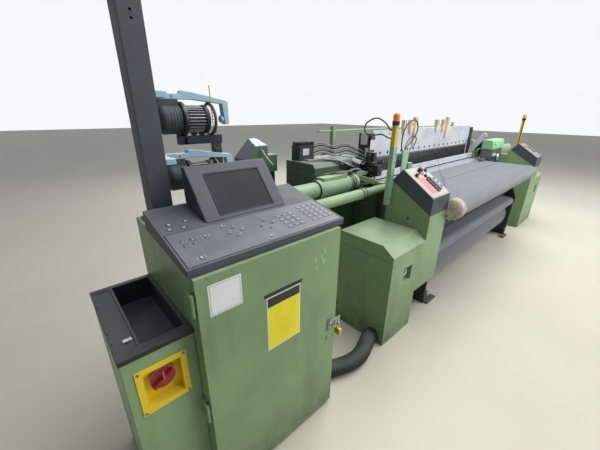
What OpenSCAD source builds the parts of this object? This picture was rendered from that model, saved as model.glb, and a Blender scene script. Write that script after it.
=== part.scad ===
// Rigid rapier weaving machine with its control cabinet at the left end.
// Inside the modules, x runs from the cabinet's left side towards the right end,
// y runs from the cabinet's front towards the warp, and z is the height above the floor.
// The whole machine is then moved so that its origin lies at the centre of its footprint.

/* [Control cabinet] */
// Width of the control cabinet
cab_w = 651; // [600:1:700]
// Depth of the control cabinet with its door
cab_d = 560; // [540:1:580]
// Height of the cabinet's front edge under the console
cab_h = 1047; // [1000:1:1080]
// Rise of the cabinet's top from its front to the console's back
cab_rise = 40; // [20:1:60]
// Sheet thickness of the cabinet
cab_wall = 3; // [2:0.5:5]
// Thickness of the folded door
door_t = 22; // [16:1:28]
// Height of the plinth under the door
plinth_h = 24; // [15:1:40]

/* [Console and display] */
// Overhang of the console past the cabinet's left side
console_over_l = 9; // [0:1:15]
// Overhang of the console past the cabinet's right side
console_over_r = 33; // [10:1:40]
// Setback of the console's front lip from the door's face
console_front = 15; // [8:1:20]
// Depth of the console
console_d = 378; // [360:1:400]
// Height of the console's front lip
console_lip = 26; // [18:1:34]
// Height of the console's back edge above the cabinet
console_back_h = 71; // [60:1:80]
// Width of the display housing
monitor_w = 373; // [340:1:400]
// Left side of the display housing
monitor_x = 152; // [120:1:180]
// Distance of the display's foot from the cabinet's front
monitor_y = 218; // [205:1:230]
// Slanted height of the display's front
monitor_len = 242; // [220:1:255]
// Lean of the display's front from upright, in degrees
monitor_lean = 41; // [36:1:45]

/* [Switch box] */
// Width of the main switch box
swbox_w = 220; // [200:1:240]
// Depth of the main switch box
swbox_d = 457; // [430:1:480]
// Setback of the switch box from the cabinet's front
swbox_y = 58; // [40:1:70]
// Height of the switch box under its tray
swbox_h = 822; // [780:1:860]
// Height of the tray's rim
tray_h = 18; // [12:1:24]
// Depth of the tray's deep bay
tray_deep = 78; // [60:1:100]
// Radius of the main switch knob
knob_r = 38; // [34:1:42]

/* [Machine frame] */
// Gap between the control cabinet and the left low cover
cab_gap = 567; // [540:1:600]
// Width of a low cover
cover_w = 409; // [380:1:430]
// Width of an end column and its panel box
column_w = 269; // [250:1:290]
// Room between the cloth's right edge and the right side frame, for the rapier drive
right_room = 457; // [400:1:500]
// Thickness of a cast side frame
frame_t = 80; // [60:1:90]
// Front face of the low covers and end columns
front_y = 35; // [20:1:50]
// Depth of the low covers
cover_d = 427; // [400:1:440]
// Height of the low covers
cover_h = 736; // [700:1:760]
// Height of a low cover's front edge below its slanted part
cover_front_h = 676; // [640:1:690]
// Height of an end column's front
column_h = 855; // [830:1:880]
// Clearance of the left column's lower edge above the floor
column_low = 288; // [250:1:320]
// Height of the panel box at its front
panel_t = 118; // [100:1:130]

/* [Cloth and rollers] */
// Gap between the left side frame and the cloth's left edge
cloth_gap = 42; // [38:1:60]
// Width of the cloth
cloth_w = 2250; // [2150:1:2252]
// Thickness of the cloth and warp sheets
web_t = 2; // [1.5:0.1:3]
// Height of the breast roll's axis
breast_z = 855; // [845:1:865]
// Radius of the breast roll
breast_r = 70; // [62:1:74]
// Radius of the take-up roller
takeup_r = 80; // [70:1:86]
// Radius of the press roller
press_r = 50; // [44:1:54]
// Radius of the wound cloth
cloth_roll_r = 233; // [215:1:235]
// Radius of the back rest roller
backrest_r = 68; // [60:1:75]
// Radius of the wound warp
warp_r = 292; // [260:1:310]
// Radius of the warp beam's flanges
flange_r = 350; // [330:1:360]

/* [Sley, healds and rapiers] */
// Distance of the reed's front from the cabinet's front, at rest
reed_y = 686; // [680:1:692]
// Number of gaps in the reed as modelled
reed_gaps = 90; // [40:1:110]
// Front of the first heald frame
heald_y = 762; // [758:1:768]
// Pitch from one heald frame to the next
heald_pitch = 26; // [22:1:28]
// Thickness of a heald frame
heald_t = 12; // [9:1:15]
// Height of a heald frame's upper bar
heald_bar_h = 190; // [160:1:200]
// Travel of a heald frame
heald_lift = 70; // [40:1:80]
// Length of a rapier rod beyond its travel
rapier_spare = 335; // [300:1:380]
// Height of the rapiers' axis
rapier_z = 953; // [950:1:956]
// Radius of the rapier guard tubes
guard_r = 55; // [52:1:58]
// Radius of the round cross tube
cross_tube_r = 37; // [30:1:42]

/* [Lamps and column] */
// Height of the signal lamp posts' upper ends
post_top = 1425; // [1380:1:1450]
// Height of the cable column
column_top = 2300; // [2000:10:2400]

/* [Hidden] */
$fn = 48;

// Shared small sizes
overrun = 1;
seat_gap = 0.3;
run_fit = 0.05;

// Colours
green = [0.50, 0.62, 0.45];
dark_green = [0.20, 0.30, 0.21];
slate = [0.30, 0.34, 0.38];
black = [0.07, 0.07, 0.08];
steel = [0.62, 0.63, 0.65];
white = [0.88, 0.89, 0.90];
cloth_grey = [0.36, 0.38, 0.41];
yellow = [0.93, 0.80, 0.08];
red = [0.62, 0.09, 0.10];
pale_blue = [0.55, 0.68, 0.76];
brass_yellow = [0.78, 0.66, 0.30];
wood = [0.80, 0.69, 0.52];
orange = [0.98, 0.48, 0.06];

// Places along the machine
cover_x = cab_w + cab_gap;
column_x = cover_x + cover_w;
column_end = column_x + column_w;
frame_inset = 16;
inner_l = column_end - frame_inset;
cloth_x = inner_l + cloth_gap;
cloth_end = cloth_x + cloth_w;
inner_r = cloth_end + right_room;
mid_x = (inner_l + inner_r) / 2;
travel_over = 40;
tip_gap = 10;
rapier_tip_l = inner_l + seat_gap;
rapier_travel = cloth_w / 2 + travel_over;
rapier_len = rapier_travel + rapier_spare;
rapier_tip_r = rapier_tip_l + 2 * rapier_travel + tip_gap;
guard_over = 30;
part_left = -swbox_w - 2 * overrun;
part_right = rapier_tip_r + rapier_len + guard_over;
warp_y = 1560;
part_back = warp_y + flange_r;
roll_y = 5;
roll_fit = 0.4;
part_front = roll_y - breast_r - roll_fit - web_t;

module placed() {
    translate([-(part_left + part_right) / 2, -(part_front + part_back) / 2, 0])
        children();
}

module mirrored() {
    translate([2 * mid_x, 0, 0])
        mirror([1, 0, 0])
            children();
}

module both_ends() {
    children();
    mirrored()
        children();
}

// Box between two corners
module block(a, b) {
    translate(a)
        cube(b - a);
}

// Profile in y and z, drawn out along x
module along_x(x0, x1) {
    translate([x0, 0, 0])
        rotate([90, 0, 90])
            linear_extrude(x1 - x0)
                children();
}

module rod_x(x0, x1, y, z, r) {
    translate([x0, y, z])
        rotate([0, 90, 0])
            cylinder(h = x1 - x0, r = r);
}

module rod_y(y0, y1, x, z, r) {
    translate([x, y0, z])
        rotate([-90, 0, 0])
            cylinder(h = y1 - y0, r = r);
}

module rod_z(z0, z1, x, y, r) {
    translate([x, y, z0])
        cylinder(h = z1 - z0, r = r);
}

// Console and cabinet top share one slope
cab_body_y = door_t + 2 * overrun;
console_back = console_front + console_d;
function cab_top(y) = cab_h + cab_rise * min(y - console_front, console_d) / console_d;
console_x0 = -console_over_l;
console_x1 = cab_w + console_over_r;
console_slope = (cab_top(console_back) + console_back_h - cab_h - console_lip) / console_d;
function console_top(y) = cab_h + console_lip + (y - console_front) * console_slope;

// Control cabinet: a folded shell with a return flange round its front opening
cab_flange = 26;
cab_foot_t = 4;
hinge_x = -8;
hinge_y = door_t / 2;
hinge_r = 6.5;
hinge_pin_r = 3;
hinge_h = 27;
hinge_leaf_t = 3;
hinge_back = 46;
hinge_zs = [450, 912];
vent_count = 9;
vent_w = 300;
vent_h = 6;
vent_pitch = 18;
vent_z = 180;

module hinge_barrel(z0, z1) {
    rod_z(z0, z1, hinge_x, hinge_y, hinge_r);
}

module cabinet_hinge(z0) {
    rod_z(z0, z0 + 3 * hinge_h, hinge_x, hinge_y, hinge_pin_r);
    for (z = [z0, z0 + 2 * hinge_h]) {
        hinge_barrel(z, z + hinge_h);
        block([hinge_x - hinge_leaf_t, hinge_y, z], [hinge_x, hinge_back, z + hinge_h]);
        block([hinge_x - hinge_leaf_t, hinge_back - 6 * hinge_leaf_t, z], [0, hinge_back, z + hinge_h]);
    }
}

module control_cabinet() {
    placed() color(green) {
        difference() {
            along_x(0, cab_w)
                polygon([[cab_body_y, 0], [cab_body_y, cab_top(cab_body_y)],
                    [console_back, cab_top(console_back)], [cab_d, cab_top(console_back)], [cab_d, 0]]);
            along_x(cab_wall, cab_w - cab_wall)
                polygon([[cab_body_y + cab_wall, plinth_h], [cab_body_y + cab_wall, cab_h - cab_wall],
                    [console_back, cab_top(console_back) - cab_wall],
                    [cab_d - cab_wall, cab_top(console_back) - cab_wall], [cab_d - cab_wall, plinth_h]]);
            block([cab_flange, 0, plinth_h + cab_flange],
                [cab_w - cab_flange, cab_body_y + cab_wall + overrun, cab_h - cab_flange]);
            for (i = [0 : vent_count - 1])
                block([(cab_w - vent_w) / 2, cab_d - 2 * cab_wall, vent_z + i * vent_pitch],
                    [(cab_w + vent_w) / 2, cab_d + overrun, vent_z + i * vent_pitch + vent_h]);
            block([cab_foot_t, cab_body_y + cab_foot_t, -overrun],
                [cab_w - cab_foot_t, cab_d - cab_foot_t, plinth_h - cab_foot_t]);
        }
        for (z = hinge_zs)
            cabinet_hinge(z);
    }
}

// Door: a folded pan with hinge knuckles, a stiffener and a hasp on its free edge
door_gap = 1;
door_skin = 2;
door_z0 = plinth_h - 4;
door_z1 = cab_h - 4;
stiff_w = 60;
stiff_t = 12;
knuckle_gap = 0.5;
hasp_x = cab_w - 58;
hasp_x1 = cab_w + 34;
hasp_z = 520;
hasp_h = 46;
hasp_t = 4;
hasp_hole_r = 6;
hasp_hole_x = cab_w + 22;
hasp_hole_z = 536;
lock_cap_r = 12;
lock_cap_z = 475;

module cabinet_door() {
    placed() color(green) {
        difference() {
            block([door_gap, 0, door_z0], [cab_w - door_gap, door_t, door_z1]);
            block([door_gap + door_skin, door_skin, door_z0 + door_skin],
                [cab_w - door_gap - door_skin, door_t + overrun, door_z1 - door_skin]);
        }
        block([(cab_w - stiff_w) / 2, door_skin, door_z0 + door_skin],
            [(cab_w + stiff_w) / 2, door_skin + stiff_t, door_z1 - door_skin]);
        for (z = hinge_zs)
            difference() {
                union() {
                    hinge_barrel(z + hinge_h + knuckle_gap, z + 2 * hinge_h - knuckle_gap);
                    block([hinge_x, hinge_y - hinge_leaf_t / 2, z + hinge_h + knuckle_gap],
                        [door_gap, hinge_y + hinge_leaf_t / 2, z + 2 * hinge_h - knuckle_gap]);
                }
                rod_z(z, z + 3 * hinge_h, hinge_x, hinge_y, hinge_pin_r + run_fit);
            }
        difference() {
            block([hasp_x, -hasp_t, hasp_z], [hasp_x1, 0, hasp_z + hasp_h]);
            rod_y(-hasp_t - overrun, overrun, hasp_hole_x, hasp_hole_z, hasp_hole_r);
        }
        rod_y(-hasp_t, 0, hasp_x + lock_cap_r, lock_cap_z, lock_cap_r);
    }
}

// Padlock hanging in the hasp, its shackle through the hasp's hole
lock_w = 40;
lock_h = 34;
lock_t = 15;
shackle_r = 4;
shackle_span_r = 12;
shackle_leg = 26;
lock_y = -hasp_t / 2;
lock_top = hasp_hole_z - hasp_hole_r + seat_gap + 2 * shackle_r - shackle_span_r - shackle_leg - shackle_r;

module padlock() {
    placed() color(brass_yellow)
        translate([hasp_hole_x, lock_y, lock_top]) {
            translate([-lock_t / 2, -lock_w / 2, -lock_h])
                cube([lock_t, lock_w, lock_h]);
            for (s = [-1, 1])
                translate([0, s * shackle_span_r, -overrun])
                    cylinder(h = shackle_leg + overrun, r = shackle_r);
            translate([0, 0, shackle_leg])
                rotate([90, 0, 90])
                    rotate_extrude(angle = 180)
                        translate([shackle_span_r, 0])
                            circle(r = shackle_r);
        }
}

// Electrical back panel with rows of drives, contactors and terminals
panel_gap = 8;
panel_sheet = 3;
panel_y = cab_d - cab_wall - panel_gap - panel_sheet;
panel_x0 = 40;
panel_z0 = 70;
panel_z1 = 1000;
rail_h = 35;
rail_t = 8;
drive_count = 4;
drive_w = 110;
drive_h = 250;
drive_d = 130;
drive_pitch = 138;
drive_z = 700;
contactor_count = 9;
contactor_w = 45;
contactor_h = 90;
contactor_d = 80;
contactor_pitch = 56;
contactor_z = 500;
terminal_count = 24;
terminal_w = 14;
terminal_h = 60;
terminal_d = 45;
terminal_pitch = 20;
terminal_z = 330;
transformer = [150, 120, 140];
transformer_x = 90;

module panel_row(count, w, h, d, pitch, z) {
    row_x = (cab_w - (count - 1) * pitch - w) / 2;
    block([panel_x0 + rail_t, panel_y - rail_t, z + (h - rail_h) / 2],
        [cab_w - panel_x0 - rail_t, panel_y, z + (h + rail_h) / 2]);
    for (i = [0 : count - 1])
        block([row_x + i * pitch, panel_y - d, z], [row_x + i * pitch + w, panel_y, z + h]);
}

module electric_panel() {
    placed() color(steel) {
        block([panel_x0, panel_y, panel_z0], [cab_w - panel_x0, panel_y + panel_sheet, panel_z1]);
        for (x = [panel_x0, cab_w - panel_x0 - rail_h], z = [panel_z0, panel_z1 - rail_h])
            block([x, panel_y, z], [x + rail_h, cab_d - cab_wall, z + rail_h]);
        panel_row(drive_count, drive_w, drive_h, drive_d, drive_pitch, drive_z);
        panel_row(contactor_count, contactor_w, contactor_h, contactor_d, contactor_pitch, contactor_z);
        panel_row(terminal_count, terminal_w, terminal_h, terminal_d, terminal_pitch, terminal_z);
        translate([transformer_x, panel_y - transformer[1], panel_z0 + rail_h])
            cube(transformer);
    }
}

// Console housing: a wedge on the cabinet's sloping top
console_rim = 8;
console_sink = 2;

module console_housing() {
    placed() color(slate)
        difference() {
            along_x(console_x0, console_x1)
                polygon([[console_front, cab_top(console_front)], [console_front, console_top(console_front)],
                    [console_back, console_top(console_back)], [console_back, cab_top(console_back)]]);
            along_x(console_x0 + console_rim, console_x1 - console_rim)
                polygon([for (p = [[console_front + console_rim, -console_sink],
                    [monitor_y - console_rim, -console_sink],
                    [monitor_y - console_rim, console_lip], [console_front + console_rim, console_lip]])
                        [p[0], console_top(p[0]) + p[1]]]);
        }
}

// Membrane keypad with raised keys, in the console's sunk field
key_rise = 1.6;
pad_x0 = console_x0 + console_rim + overrun;
pad_x1 = console_x1 - console_rim - overrun;
pad_y0 = console_front + console_rim + overrun;
pad_y1 = monitor_y - console_rim - overrun;
console_w = console_x1 - console_x0;
key_d = 15;
key_pitch = 26;
key_pitch_share = 0.0462;
key_w_share = 0.0317;
dot_key_r = 8;
pad_lift = 0.1;

module on_console(x, y) {
    translate([x, y, console_top(y) - console_sink + pad_lift])
        rotate([atan(console_slope), 0, 0])
            children();
}

// Keys lie at shares of the console's width
module key_grid(share, y, nx, ny) {
    for (i = [0 : nx - 1], j = [0 : ny - 1])
        on_console(console_x0 + (share + i * key_pitch_share) * console_w, y + j * key_pitch)
            cube([key_w_share * console_w, key_d, console_sink + key_rise]);
}

module dot_key(share, y) {
    on_console(console_x0 + share * console_w, y)
        cylinder(h = console_sink + key_rise, r = dot_key_r);
}

key_grid_shares = [0.799, 0.612, 0.056];
key_grid_y = [60, 62, 120];
diamond_shares = [0.333, 0.521];
diamond_y = [132, 122];
diamond_step_share = 0.0375;
single_key_shares = [0.092, 0.179, 0.29, 0.472];
single_key_y = [52, 152, 182, 52];

module console_keypad() {
    placed() color([0.42, 0.46, 0.50]) {
        on_console(pad_x0, pad_y0)
            cube([pad_x1 - pad_x0, (pad_y1 - pad_y0) / cos(atan(console_slope)), console_sink]);
        key_grid(key_grid_shares[0], key_grid_y[0], 4, 5);
        key_grid(key_grid_shares[1], key_grid_y[1], 3, 4);
        key_grid(key_grid_shares[2], key_grid_y[2], 2, 2);
        for (i = [0, 1], d = [[1, 0], [-1, 0], [0, 1], [0, -1]])
            dot_key(diamond_shares[i] + d[0] * diamond_step_share, diamond_y[i] + d[1] * key_pitch);
        for (i = [0 : len(single_key_shares) - 1])
            dot_key(single_key_shares[i], single_key_y[i]);
    }
}

// Display housing, leaning back, with a sunk screen
monitor_x1 = monitor_x + monitor_w;
monitor_sink = 6;
screen_x0 = 65;
screen_x1 = 316;
screen_v0 = 20;
screen_v1 = 202;
monitor_top_y = monitor_y + monitor_len * sin(monitor_lean);
monitor_top_z = console_top(monitor_y) + monitor_len * cos(monitor_lean);

module on_monitor(u, v) {
    translate([monitor_x + u, monitor_y, console_top(monitor_y)])
        rotate([-monitor_lean, 0, 0])
            translate([0, 0, v])
                children();
}

module monitor_housing() {
    placed() color(slate)
        difference() {
            along_x(monitor_x, monitor_x1)
                polygon([[monitor_y, console_top(monitor_y)], [monitor_top_y, monitor_top_z],
                    [console_back, monitor_top_z], [console_back, console_top(console_back)]]);
            on_monitor(screen_x0, screen_v0)
                translate([0, -overrun, 0])
                    cube([screen_x1 - screen_x0, monitor_sink + overrun, screen_v1 - screen_v0]);
        }
}

glass_t = 4;

module display_glass() {
    placed() color([0.12, 0.13, 0.14])
        on_monitor(screen_x0, screen_v0)
            translate([0, monitor_sink - glass_t, 0])
                cube([screen_x1 - screen_x0, glass_t, screen_v1 - screen_v0]);
}

// Main switch box at the cabinet's left side, with a sunk bay for its tray
swbox_wall = 3;
bay_x0 = -150;
bay_x1 = -16;
bay_y0 = swbox_y + 38;
bay_y1 = swbox_y + swbox_d - 24;
sw_x0 = -190;
sw_x1 = -36;
sw_drop = [225, 46];
sw_z0 = swbox_h - sw_drop[0];
sw_z1 = swbox_h - sw_drop[1];
sw_rim = 20;
sw_deep = 30;
sw_t = 3;

module switch_box() {
    placed() color(green)
        difference() {
            block([-swbox_w, swbox_y, 0], [0, swbox_y + swbox_d, swbox_h]);
            block([bay_x0 - swbox_wall, bay_y0 - swbox_wall, swbox_h - tray_deep - swbox_wall],
                [bay_x1 + swbox_wall, bay_y1 + swbox_wall, swbox_h + overrun]);
            block([sw_x0 + sw_rim - sw_t, swbox_y - overrun, sw_z0 + sw_rim - sw_t],
                [sw_x1 - sw_rim + sw_t, swbox_y + sw_deep + sw_t, sw_z1 - sw_rim + sw_t]);
        }
}

// Moulded tray: a narrow flat on the left and a deep bay on the right
tray_over = 2;
tray_flat_drop = 4;

module tool_tray() {
    placed() color(black)
        difference() {
            union() {
                block([-swbox_w - tray_over, swbox_y - tray_over, swbox_h],
                    [0, swbox_y + swbox_d, swbox_h + tray_h]);
                block([bay_x0 - swbox_wall, bay_y0 - swbox_wall, swbox_h - tray_deep - swbox_wall],
                    [bay_x1 + swbox_wall, bay_y1 + swbox_wall, swbox_h + overrun]);
            }
            block([bay_x0, bay_y0, swbox_h - tray_deep], [bay_x1, bay_y1, swbox_h + tray_h + overrun]);
            block([-swbox_w + swbox_wall, bay_y0, swbox_h + tray_h - tray_flat_drop],
                [bay_x0 - 3 * swbox_wall, bay_y1, swbox_h + tray_h + overrun]);
        }
}

// Yellow switch plate, dished, with four screw heads
sw_screw_r = 4;
sw_screw_h = 1.5;
sw_hub_r = 20;

module switch_plate() {
    placed() color(yellow)
        difference() {
            union() {
                block([sw_x0, swbox_y - sw_t, sw_z0], [sw_x1, swbox_y, sw_z1]);
                block([sw_x0 + sw_rim - sw_t, swbox_y - sw_t, sw_z0 + sw_rim - sw_t],
                    [sw_x1 - sw_rim + sw_t, swbox_y + sw_deep + sw_t, sw_z1 - sw_rim + sw_t]);
                for (x = [sw_x0 + sw_rim / 2, sw_x1 - sw_rim / 2], z = [sw_z0 + sw_rim / 2, sw_z1 - sw_rim / 2])
                    rod_y(swbox_y - sw_t - sw_screw_h, swbox_y, x, z, sw_screw_r);
            }
            block([sw_x0 + sw_rim, swbox_y - sw_t - overrun, sw_z0 + sw_rim],
                [sw_x1 - sw_rim, swbox_y + sw_deep, sw_z1 - sw_rim]);
        }
}

// Main switch knob: a disc with a raised grip, turning on its short stem
knob_x = (sw_x0 + sw_x1) / 2;
knob_z = (sw_z0 + sw_z1) / 2 + 12;
knob_disc_t = 14;
knob_front = 10;
knob_grip_w = 13;
knob_grip_h = 12;

module main_switch_knob() {
    placed() color(red) {
        rod_y(swbox_y + knob_front, swbox_y + knob_front + knob_disc_t, knob_x, knob_z, knob_r);
        rod_y(swbox_y + knob_front + knob_disc_t - overrun, swbox_y + sw_deep - seat_gap, knob_x, knob_z,
            sw_hub_r);
        translate([knob_x, swbox_y + knob_front, knob_z])
            rotate([0, -30, 0])
                translate([-knob_r, -knob_grip_h, -knob_grip_w / 2])
                    cube([2 * knob_r, knob_grip_h + overrun, knob_grip_w]);
    }
}

// Cable column: a channel with a closed front and returned lips behind, standing on the cabinet
col_x = 38;
col_w = 76;
col_y = 432;
col_d = 96;
col_wall = 4;
col_lip = 20;
col_foot = 24;
col_foot_t = 8;
col_groove = [2, 4, 13];
col_hole_r = 4;
col_hole_zs = [1773, 1796];
col_z0 = cab_top(console_back);

module cable_column() {
    placed() color(slate) {
        difference() {
            translate([0, 0, col_z0])
                linear_extrude(column_top - col_z0)
                    difference() {
                        translate([col_x, col_y])
                            square([col_w, col_d]);
                        translate([col_x + col_wall, col_y + col_wall])
                            square([col_w - 2 * col_wall, col_d - 2 * col_wall]);
                        translate([col_x + col_lip, col_y + col_d - col_wall - overrun])
                            square([col_w - 2 * col_lip, col_wall + 2 * overrun]);
                        translate([col_x - overrun, col_y + col_groove[2]])
                            square([overrun + col_groove[0], col_groove[1]]);
                    }
            for (z = col_hole_zs)
                rod_y(col_y - overrun, col_y + 2 * col_wall, col_x + col_w / 2, z, col_hole_r);
        }
        block([col_x - col_foot, col_y - col_foot, col_z0],
            [col_x + col_w + col_foot, col_y + col_d + col_foot / 2, col_z0 + col_foot_t]);
        block([col_x, col_y, column_top - col_foot_t], [col_x + col_w, col_y + col_d, column_top]);
    }
}

// Weft feeders: arms on the column, each with a motor housing, a ring and a drum on its axle
feeder_count = 2;
feeder_drop = 240;
feeder_y = 586;
feeder_z = 1467;
feeder_arm_w = 40;
feeder_arm_z = [1545, 1567];
feeder_hump = [[240, 1545], [250, 1567], [258, 1580], [306, 1575], [460, 1548], [470, 1540],
    [470, 1444], [448, 1444], [440, 1532], [306, 1546]];
feeder_x0 = 150;
feeder_body_l = 90;
feeder_body_r = 60;
feeder_ring_t = 20;
feeder_ring_r = 71;
feeder_drum_x = feeder_x0 + feeder_body_l + feeder_ring_t;
feeder_drum_l = 102;
feeder_r = 60;
feeder_axle_r = 12;
feeder_guard_x = 374;
feeder_guard_t = 10;
feeder_beam = [[226, 1363], [427, 1400]];
feeder_beam_w = 30;
feeder_leg_x = [380, 424];

module weft_feeder(leg) {
    block([col_x + col_w, col_y + col_wall, feeder_arm_z[0]],
        [col_x + col_w + feeder_arm_w, feeder_y + feeder_arm_w / 2, feeder_arm_z[1]]);
    block([col_x + col_w, feeder_y - feeder_arm_w / 2, feeder_arm_z[0]],
        [feeder_hump[1][0], feeder_y + feeder_arm_w / 2, feeder_arm_z[1]]);
    translate([0, feeder_y + feeder_arm_w / 2, 0])
        rotate([90, 0, 0])
            linear_extrude(feeder_arm_w)
                polygon(feeder_hump);
    rod_x(feeder_x0, feeder_x0 + feeder_body_l, feeder_y, feeder_z, feeder_body_r);
    block([feeder_x0, feeder_y - feeder_body_r / 2, feeder_z],
        [feeder_x0 + feeder_body_l - overrun, feeder_y + feeder_body_r / 2, feeder_arm_z[0] + overrun]);
    rod_x(feeder_x0 + feeder_body_l, feeder_drum_x, feeder_y, feeder_z, feeder_ring_r);
    rod_x(feeder_drum_x - overrun, feeder_drum_x + feeder_drum_l / 2, feeder_y, feeder_z, feeder_axle_r);
    translate([feeder_guard_x, feeder_y, feeder_z])
        rotate([0, 90, 0])
            difference() {
                cylinder(h = feeder_guard_t, r = feeder_ring_r);
                translate([0, 0, -overrun])
                    cylinder(h = feeder_guard_t + 2 * overrun, r = feeder_r);
            }
    block([feeder_guard_x, feeder_y - feeder_guard_t, feeder_z + feeder_ring_r - feeder_guard_t / 2],
        [feeder_guard_x + feeder_guard_t, feeder_y + feeder_guard_t, feeder_arm_z[0]]);
    block([feeder_beam[0][0], feeder_y - feeder_beam_w / 2, feeder_beam[0][1]],
        [feeder_beam[1][0], feeder_y + feeder_beam_w / 2, feeder_beam[1][1]]);
    block([feeder_beam[0][0], feeder_y - feeder_beam_w / 2, feeder_beam[1][1] - overrun],
        [feeder_drum_x - feeder_ring_t / 2, feeder_y + feeder_beam_w / 2,
            feeder_z - feeder_body_r + feeder_ring_t]);
    if (leg)
        block([feeder_leg_x[0], feeder_y - feeder_beam_w / 2, feeder_arm_z[0] - feeder_drop],
            [feeder_leg_x[1], feeder_y + feeder_beam_w / 2, feeder_beam[0][1] + overrun]);
}

module weft_feeders() {
    placed() color(pale_blue)
        for (i = [0 : feeder_count - 1])
            translate([0, 0, -i * feeder_drop])
                weft_feeder(i == 0);
}

feeder_rib_count = 24;
feeder_rib_r = 3;

module feeder_drum(i) {
    placed() color(black)
        translate([feeder_drum_x + seat_gap, feeder_y, feeder_z - i * feeder_drop])
            rotate([0, 90, 0])
                difference() {
                    union() {
                        cylinder(h = feeder_drum_l - feeder_ring_t, r = feeder_r - feeder_rib_r);
                        for (k = [0 : feeder_rib_count - 1])
                            rotate([0, 0, k * 360 / feeder_rib_count])
                                translate([feeder_r - 2 * feeder_rib_r, 0, 0])
                                    cylinder(h = feeder_drum_l - feeder_ring_t, r = feeder_rib_r, $fn = 12);
                        translate([0, 0, feeder_drum_l - feeder_ring_t - overrun])
                            cylinder(h = feeder_ring_t, r = feeder_r);
                    }
                    translate([0, 0, -overrun])
                        cylinder(h = feeder_drum_l / 2 + 2 * overrun, r = feeder_axle_r + run_fit);
                }
}

module feeder_drum_1() {
    feeder_drum(0);
}

module feeder_drum_2() {
    feeder_drum(1);
}

// Cast side frame with an arch between its feet, windows and bearing bores
frame_y0 = front_y + 341;
foot_h = 30;
sley_pivot = [700, 262];
sley_shaft_r = 40;
beam_journal_r = 46;
backrest = [1640, breast_z + breast_r - backrest_r];
backrest_journal_r = 20;
warp_z = 430;
frame_outline = [[frame_y0, foot_h], [600, foot_h], [640, 190], [1220, 190], [1262, foot_h], [1722, foot_h],
    [1742, 600], [1730, 962], [1520, 962], [1400, 1000], [1222, 1140], [850, 1140], [800, 890], [600, 890],
    [560, 985], [frame_y0, 985]];
frame_windows = [[[800, 330], [1010, 330], [1010, 620], [860, 700], [800, 640]],
    [[450, 200], [560, 200], [600, 420], [600, 660], [450, 660]],
    [[1190, 300], [1330, 300], [1330, 700], [1190, 700]]];
frame_field = [[660, 760], [1380, 760], [1380, 930], [1200, 1080], [900, 1080], [850, 820], [660, 820]];
frame_rib = 18;

module side_frame() {
    difference() {
        along_x(inner_l - frame_t, inner_l)
            difference() {
                polygon(frame_outline);
                for (w = frame_windows)
                    polygon(w);
            }
        along_x(inner_l - frame_t - overrun, inner_l - frame_t + frame_rib)
            polygon(frame_field);
        rod_x(inner_l - frame_t - overrun, inner_l + overrun, sley_pivot[0], sley_pivot[1],
            sley_shaft_r + run_fit);
        rod_x(inner_l - frame_t - overrun, inner_l + overrun, warp_y, warp_z, beam_journal_r + run_fit);
        rod_x(inner_l - frame_t - overrun, inner_l + overrun, backrest[0], backrest[1],
            backrest_journal_r + run_fit);
    }
}

module left_side_frame() {
    placed() color(green)
        side_frame();
}

module right_side_frame() {
    placed() color(green)
        mirrored()
            side_frame();
}

// Foot pads under the side frames
pad_over = 20;
pad_bolt_r = 13;

module machine_foot(y0, y1) {
    difference() {
        block([inner_l - frame_t - pad_over, y0, 0], [inner_l + pad_over, y1, foot_h]);
        for (x = [inner_l - frame_t - pad_over / 2, inner_l + pad_over / 2],
            y = [y0 + 2 * pad_bolt_r, y1 - 2 * pad_bolt_r])
            rod_z(-overrun, foot_h + overrun, x, y, pad_bolt_r / 2);
    }
}

module machine_feet() {
    placed() color(black)
        both_ends() {
            machine_foot(frame_outline[0][0] + pad_over, frame_outline[1][0]);
            machine_foot(frame_outline[4][0], frame_outline[5][0]);
        }
}

// Cross girders, with the uprights and the thin rail over the warp
girder_lap = 4;
girder_front = [[frame_y0 + girder_lap, 700], [500, 850]];
girder_low = [[760, 190], [880, 260]];
girder_rear = [[1040, 430], [1160, 560]];
girder_wall = 10;
upright_w = 40;
upright_y = 1167;
upright_top = 1382;
upright_z0 = 1000;
upright_t = 6;
rail_r = 8;
rail_z = 1340;
rail_over = 180;

module girder(g) {
    difference() {
        block([inner_l, g[0][0], g[0][1]], [inner_r, g[1][0], g[1][1]]);
        block([inner_l + girder_wall, g[0][0] + girder_wall, g[0][1] + girder_wall],
            [inner_r - girder_wall, g[1][0] - girder_wall, g[1][1] - girder_wall]);
    }
}

module cross_beams() {
    placed() color(green) {
        girder(girder_front);
        girder(girder_low);
        girder(girder_rear);
        both_ends() {
            block([inner_l, upright_y, upright_z0], [inner_l + upright_t, upright_y + upright_w, upright_top]);
            block([inner_l, upright_y, upright_z0], [inner_l + upright_w, upright_y + upright_t, upright_top]);
        }
        rod_x(inner_l - rail_over, inner_r, upright_y + upright_w / 2, rail_z, rail_r);
    }
}

// The cloth's centre carries everything that follows the cloth's width
cloth_mid = cloth_x + cloth_w / 2;

module cloth_ends() {
    children();
    translate([2 * cloth_mid, 0, 0])
        mirror([1, 0, 0])
            children();
}

// Rollers, as y, z and radius
takeup = [235, 610];
press = [130, 460];
cloth_roll_c = [350, 266];
journal_r = 16;
stand_t = 14;
stand_gap = 8;
stand_x0 = cloth_x - stand_gap - stand_t;
stand_x1 = stand_x0 + stand_t;
stand_foot_t = 16;
stand_foot_w = 150;
stand_foot_y = [48, 96];
stand_outline = [[-32, 826], [-32, 884], [44, 884], [92, 840], [frame_y0 + girder_lap, 840],
    [frame_y0 + girder_lap, 690], [440, 640], [440, 0], [80, 0], [80, 400], [66, 520], [152, 700], [40, 790]];
roller_gap = 3;

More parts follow.
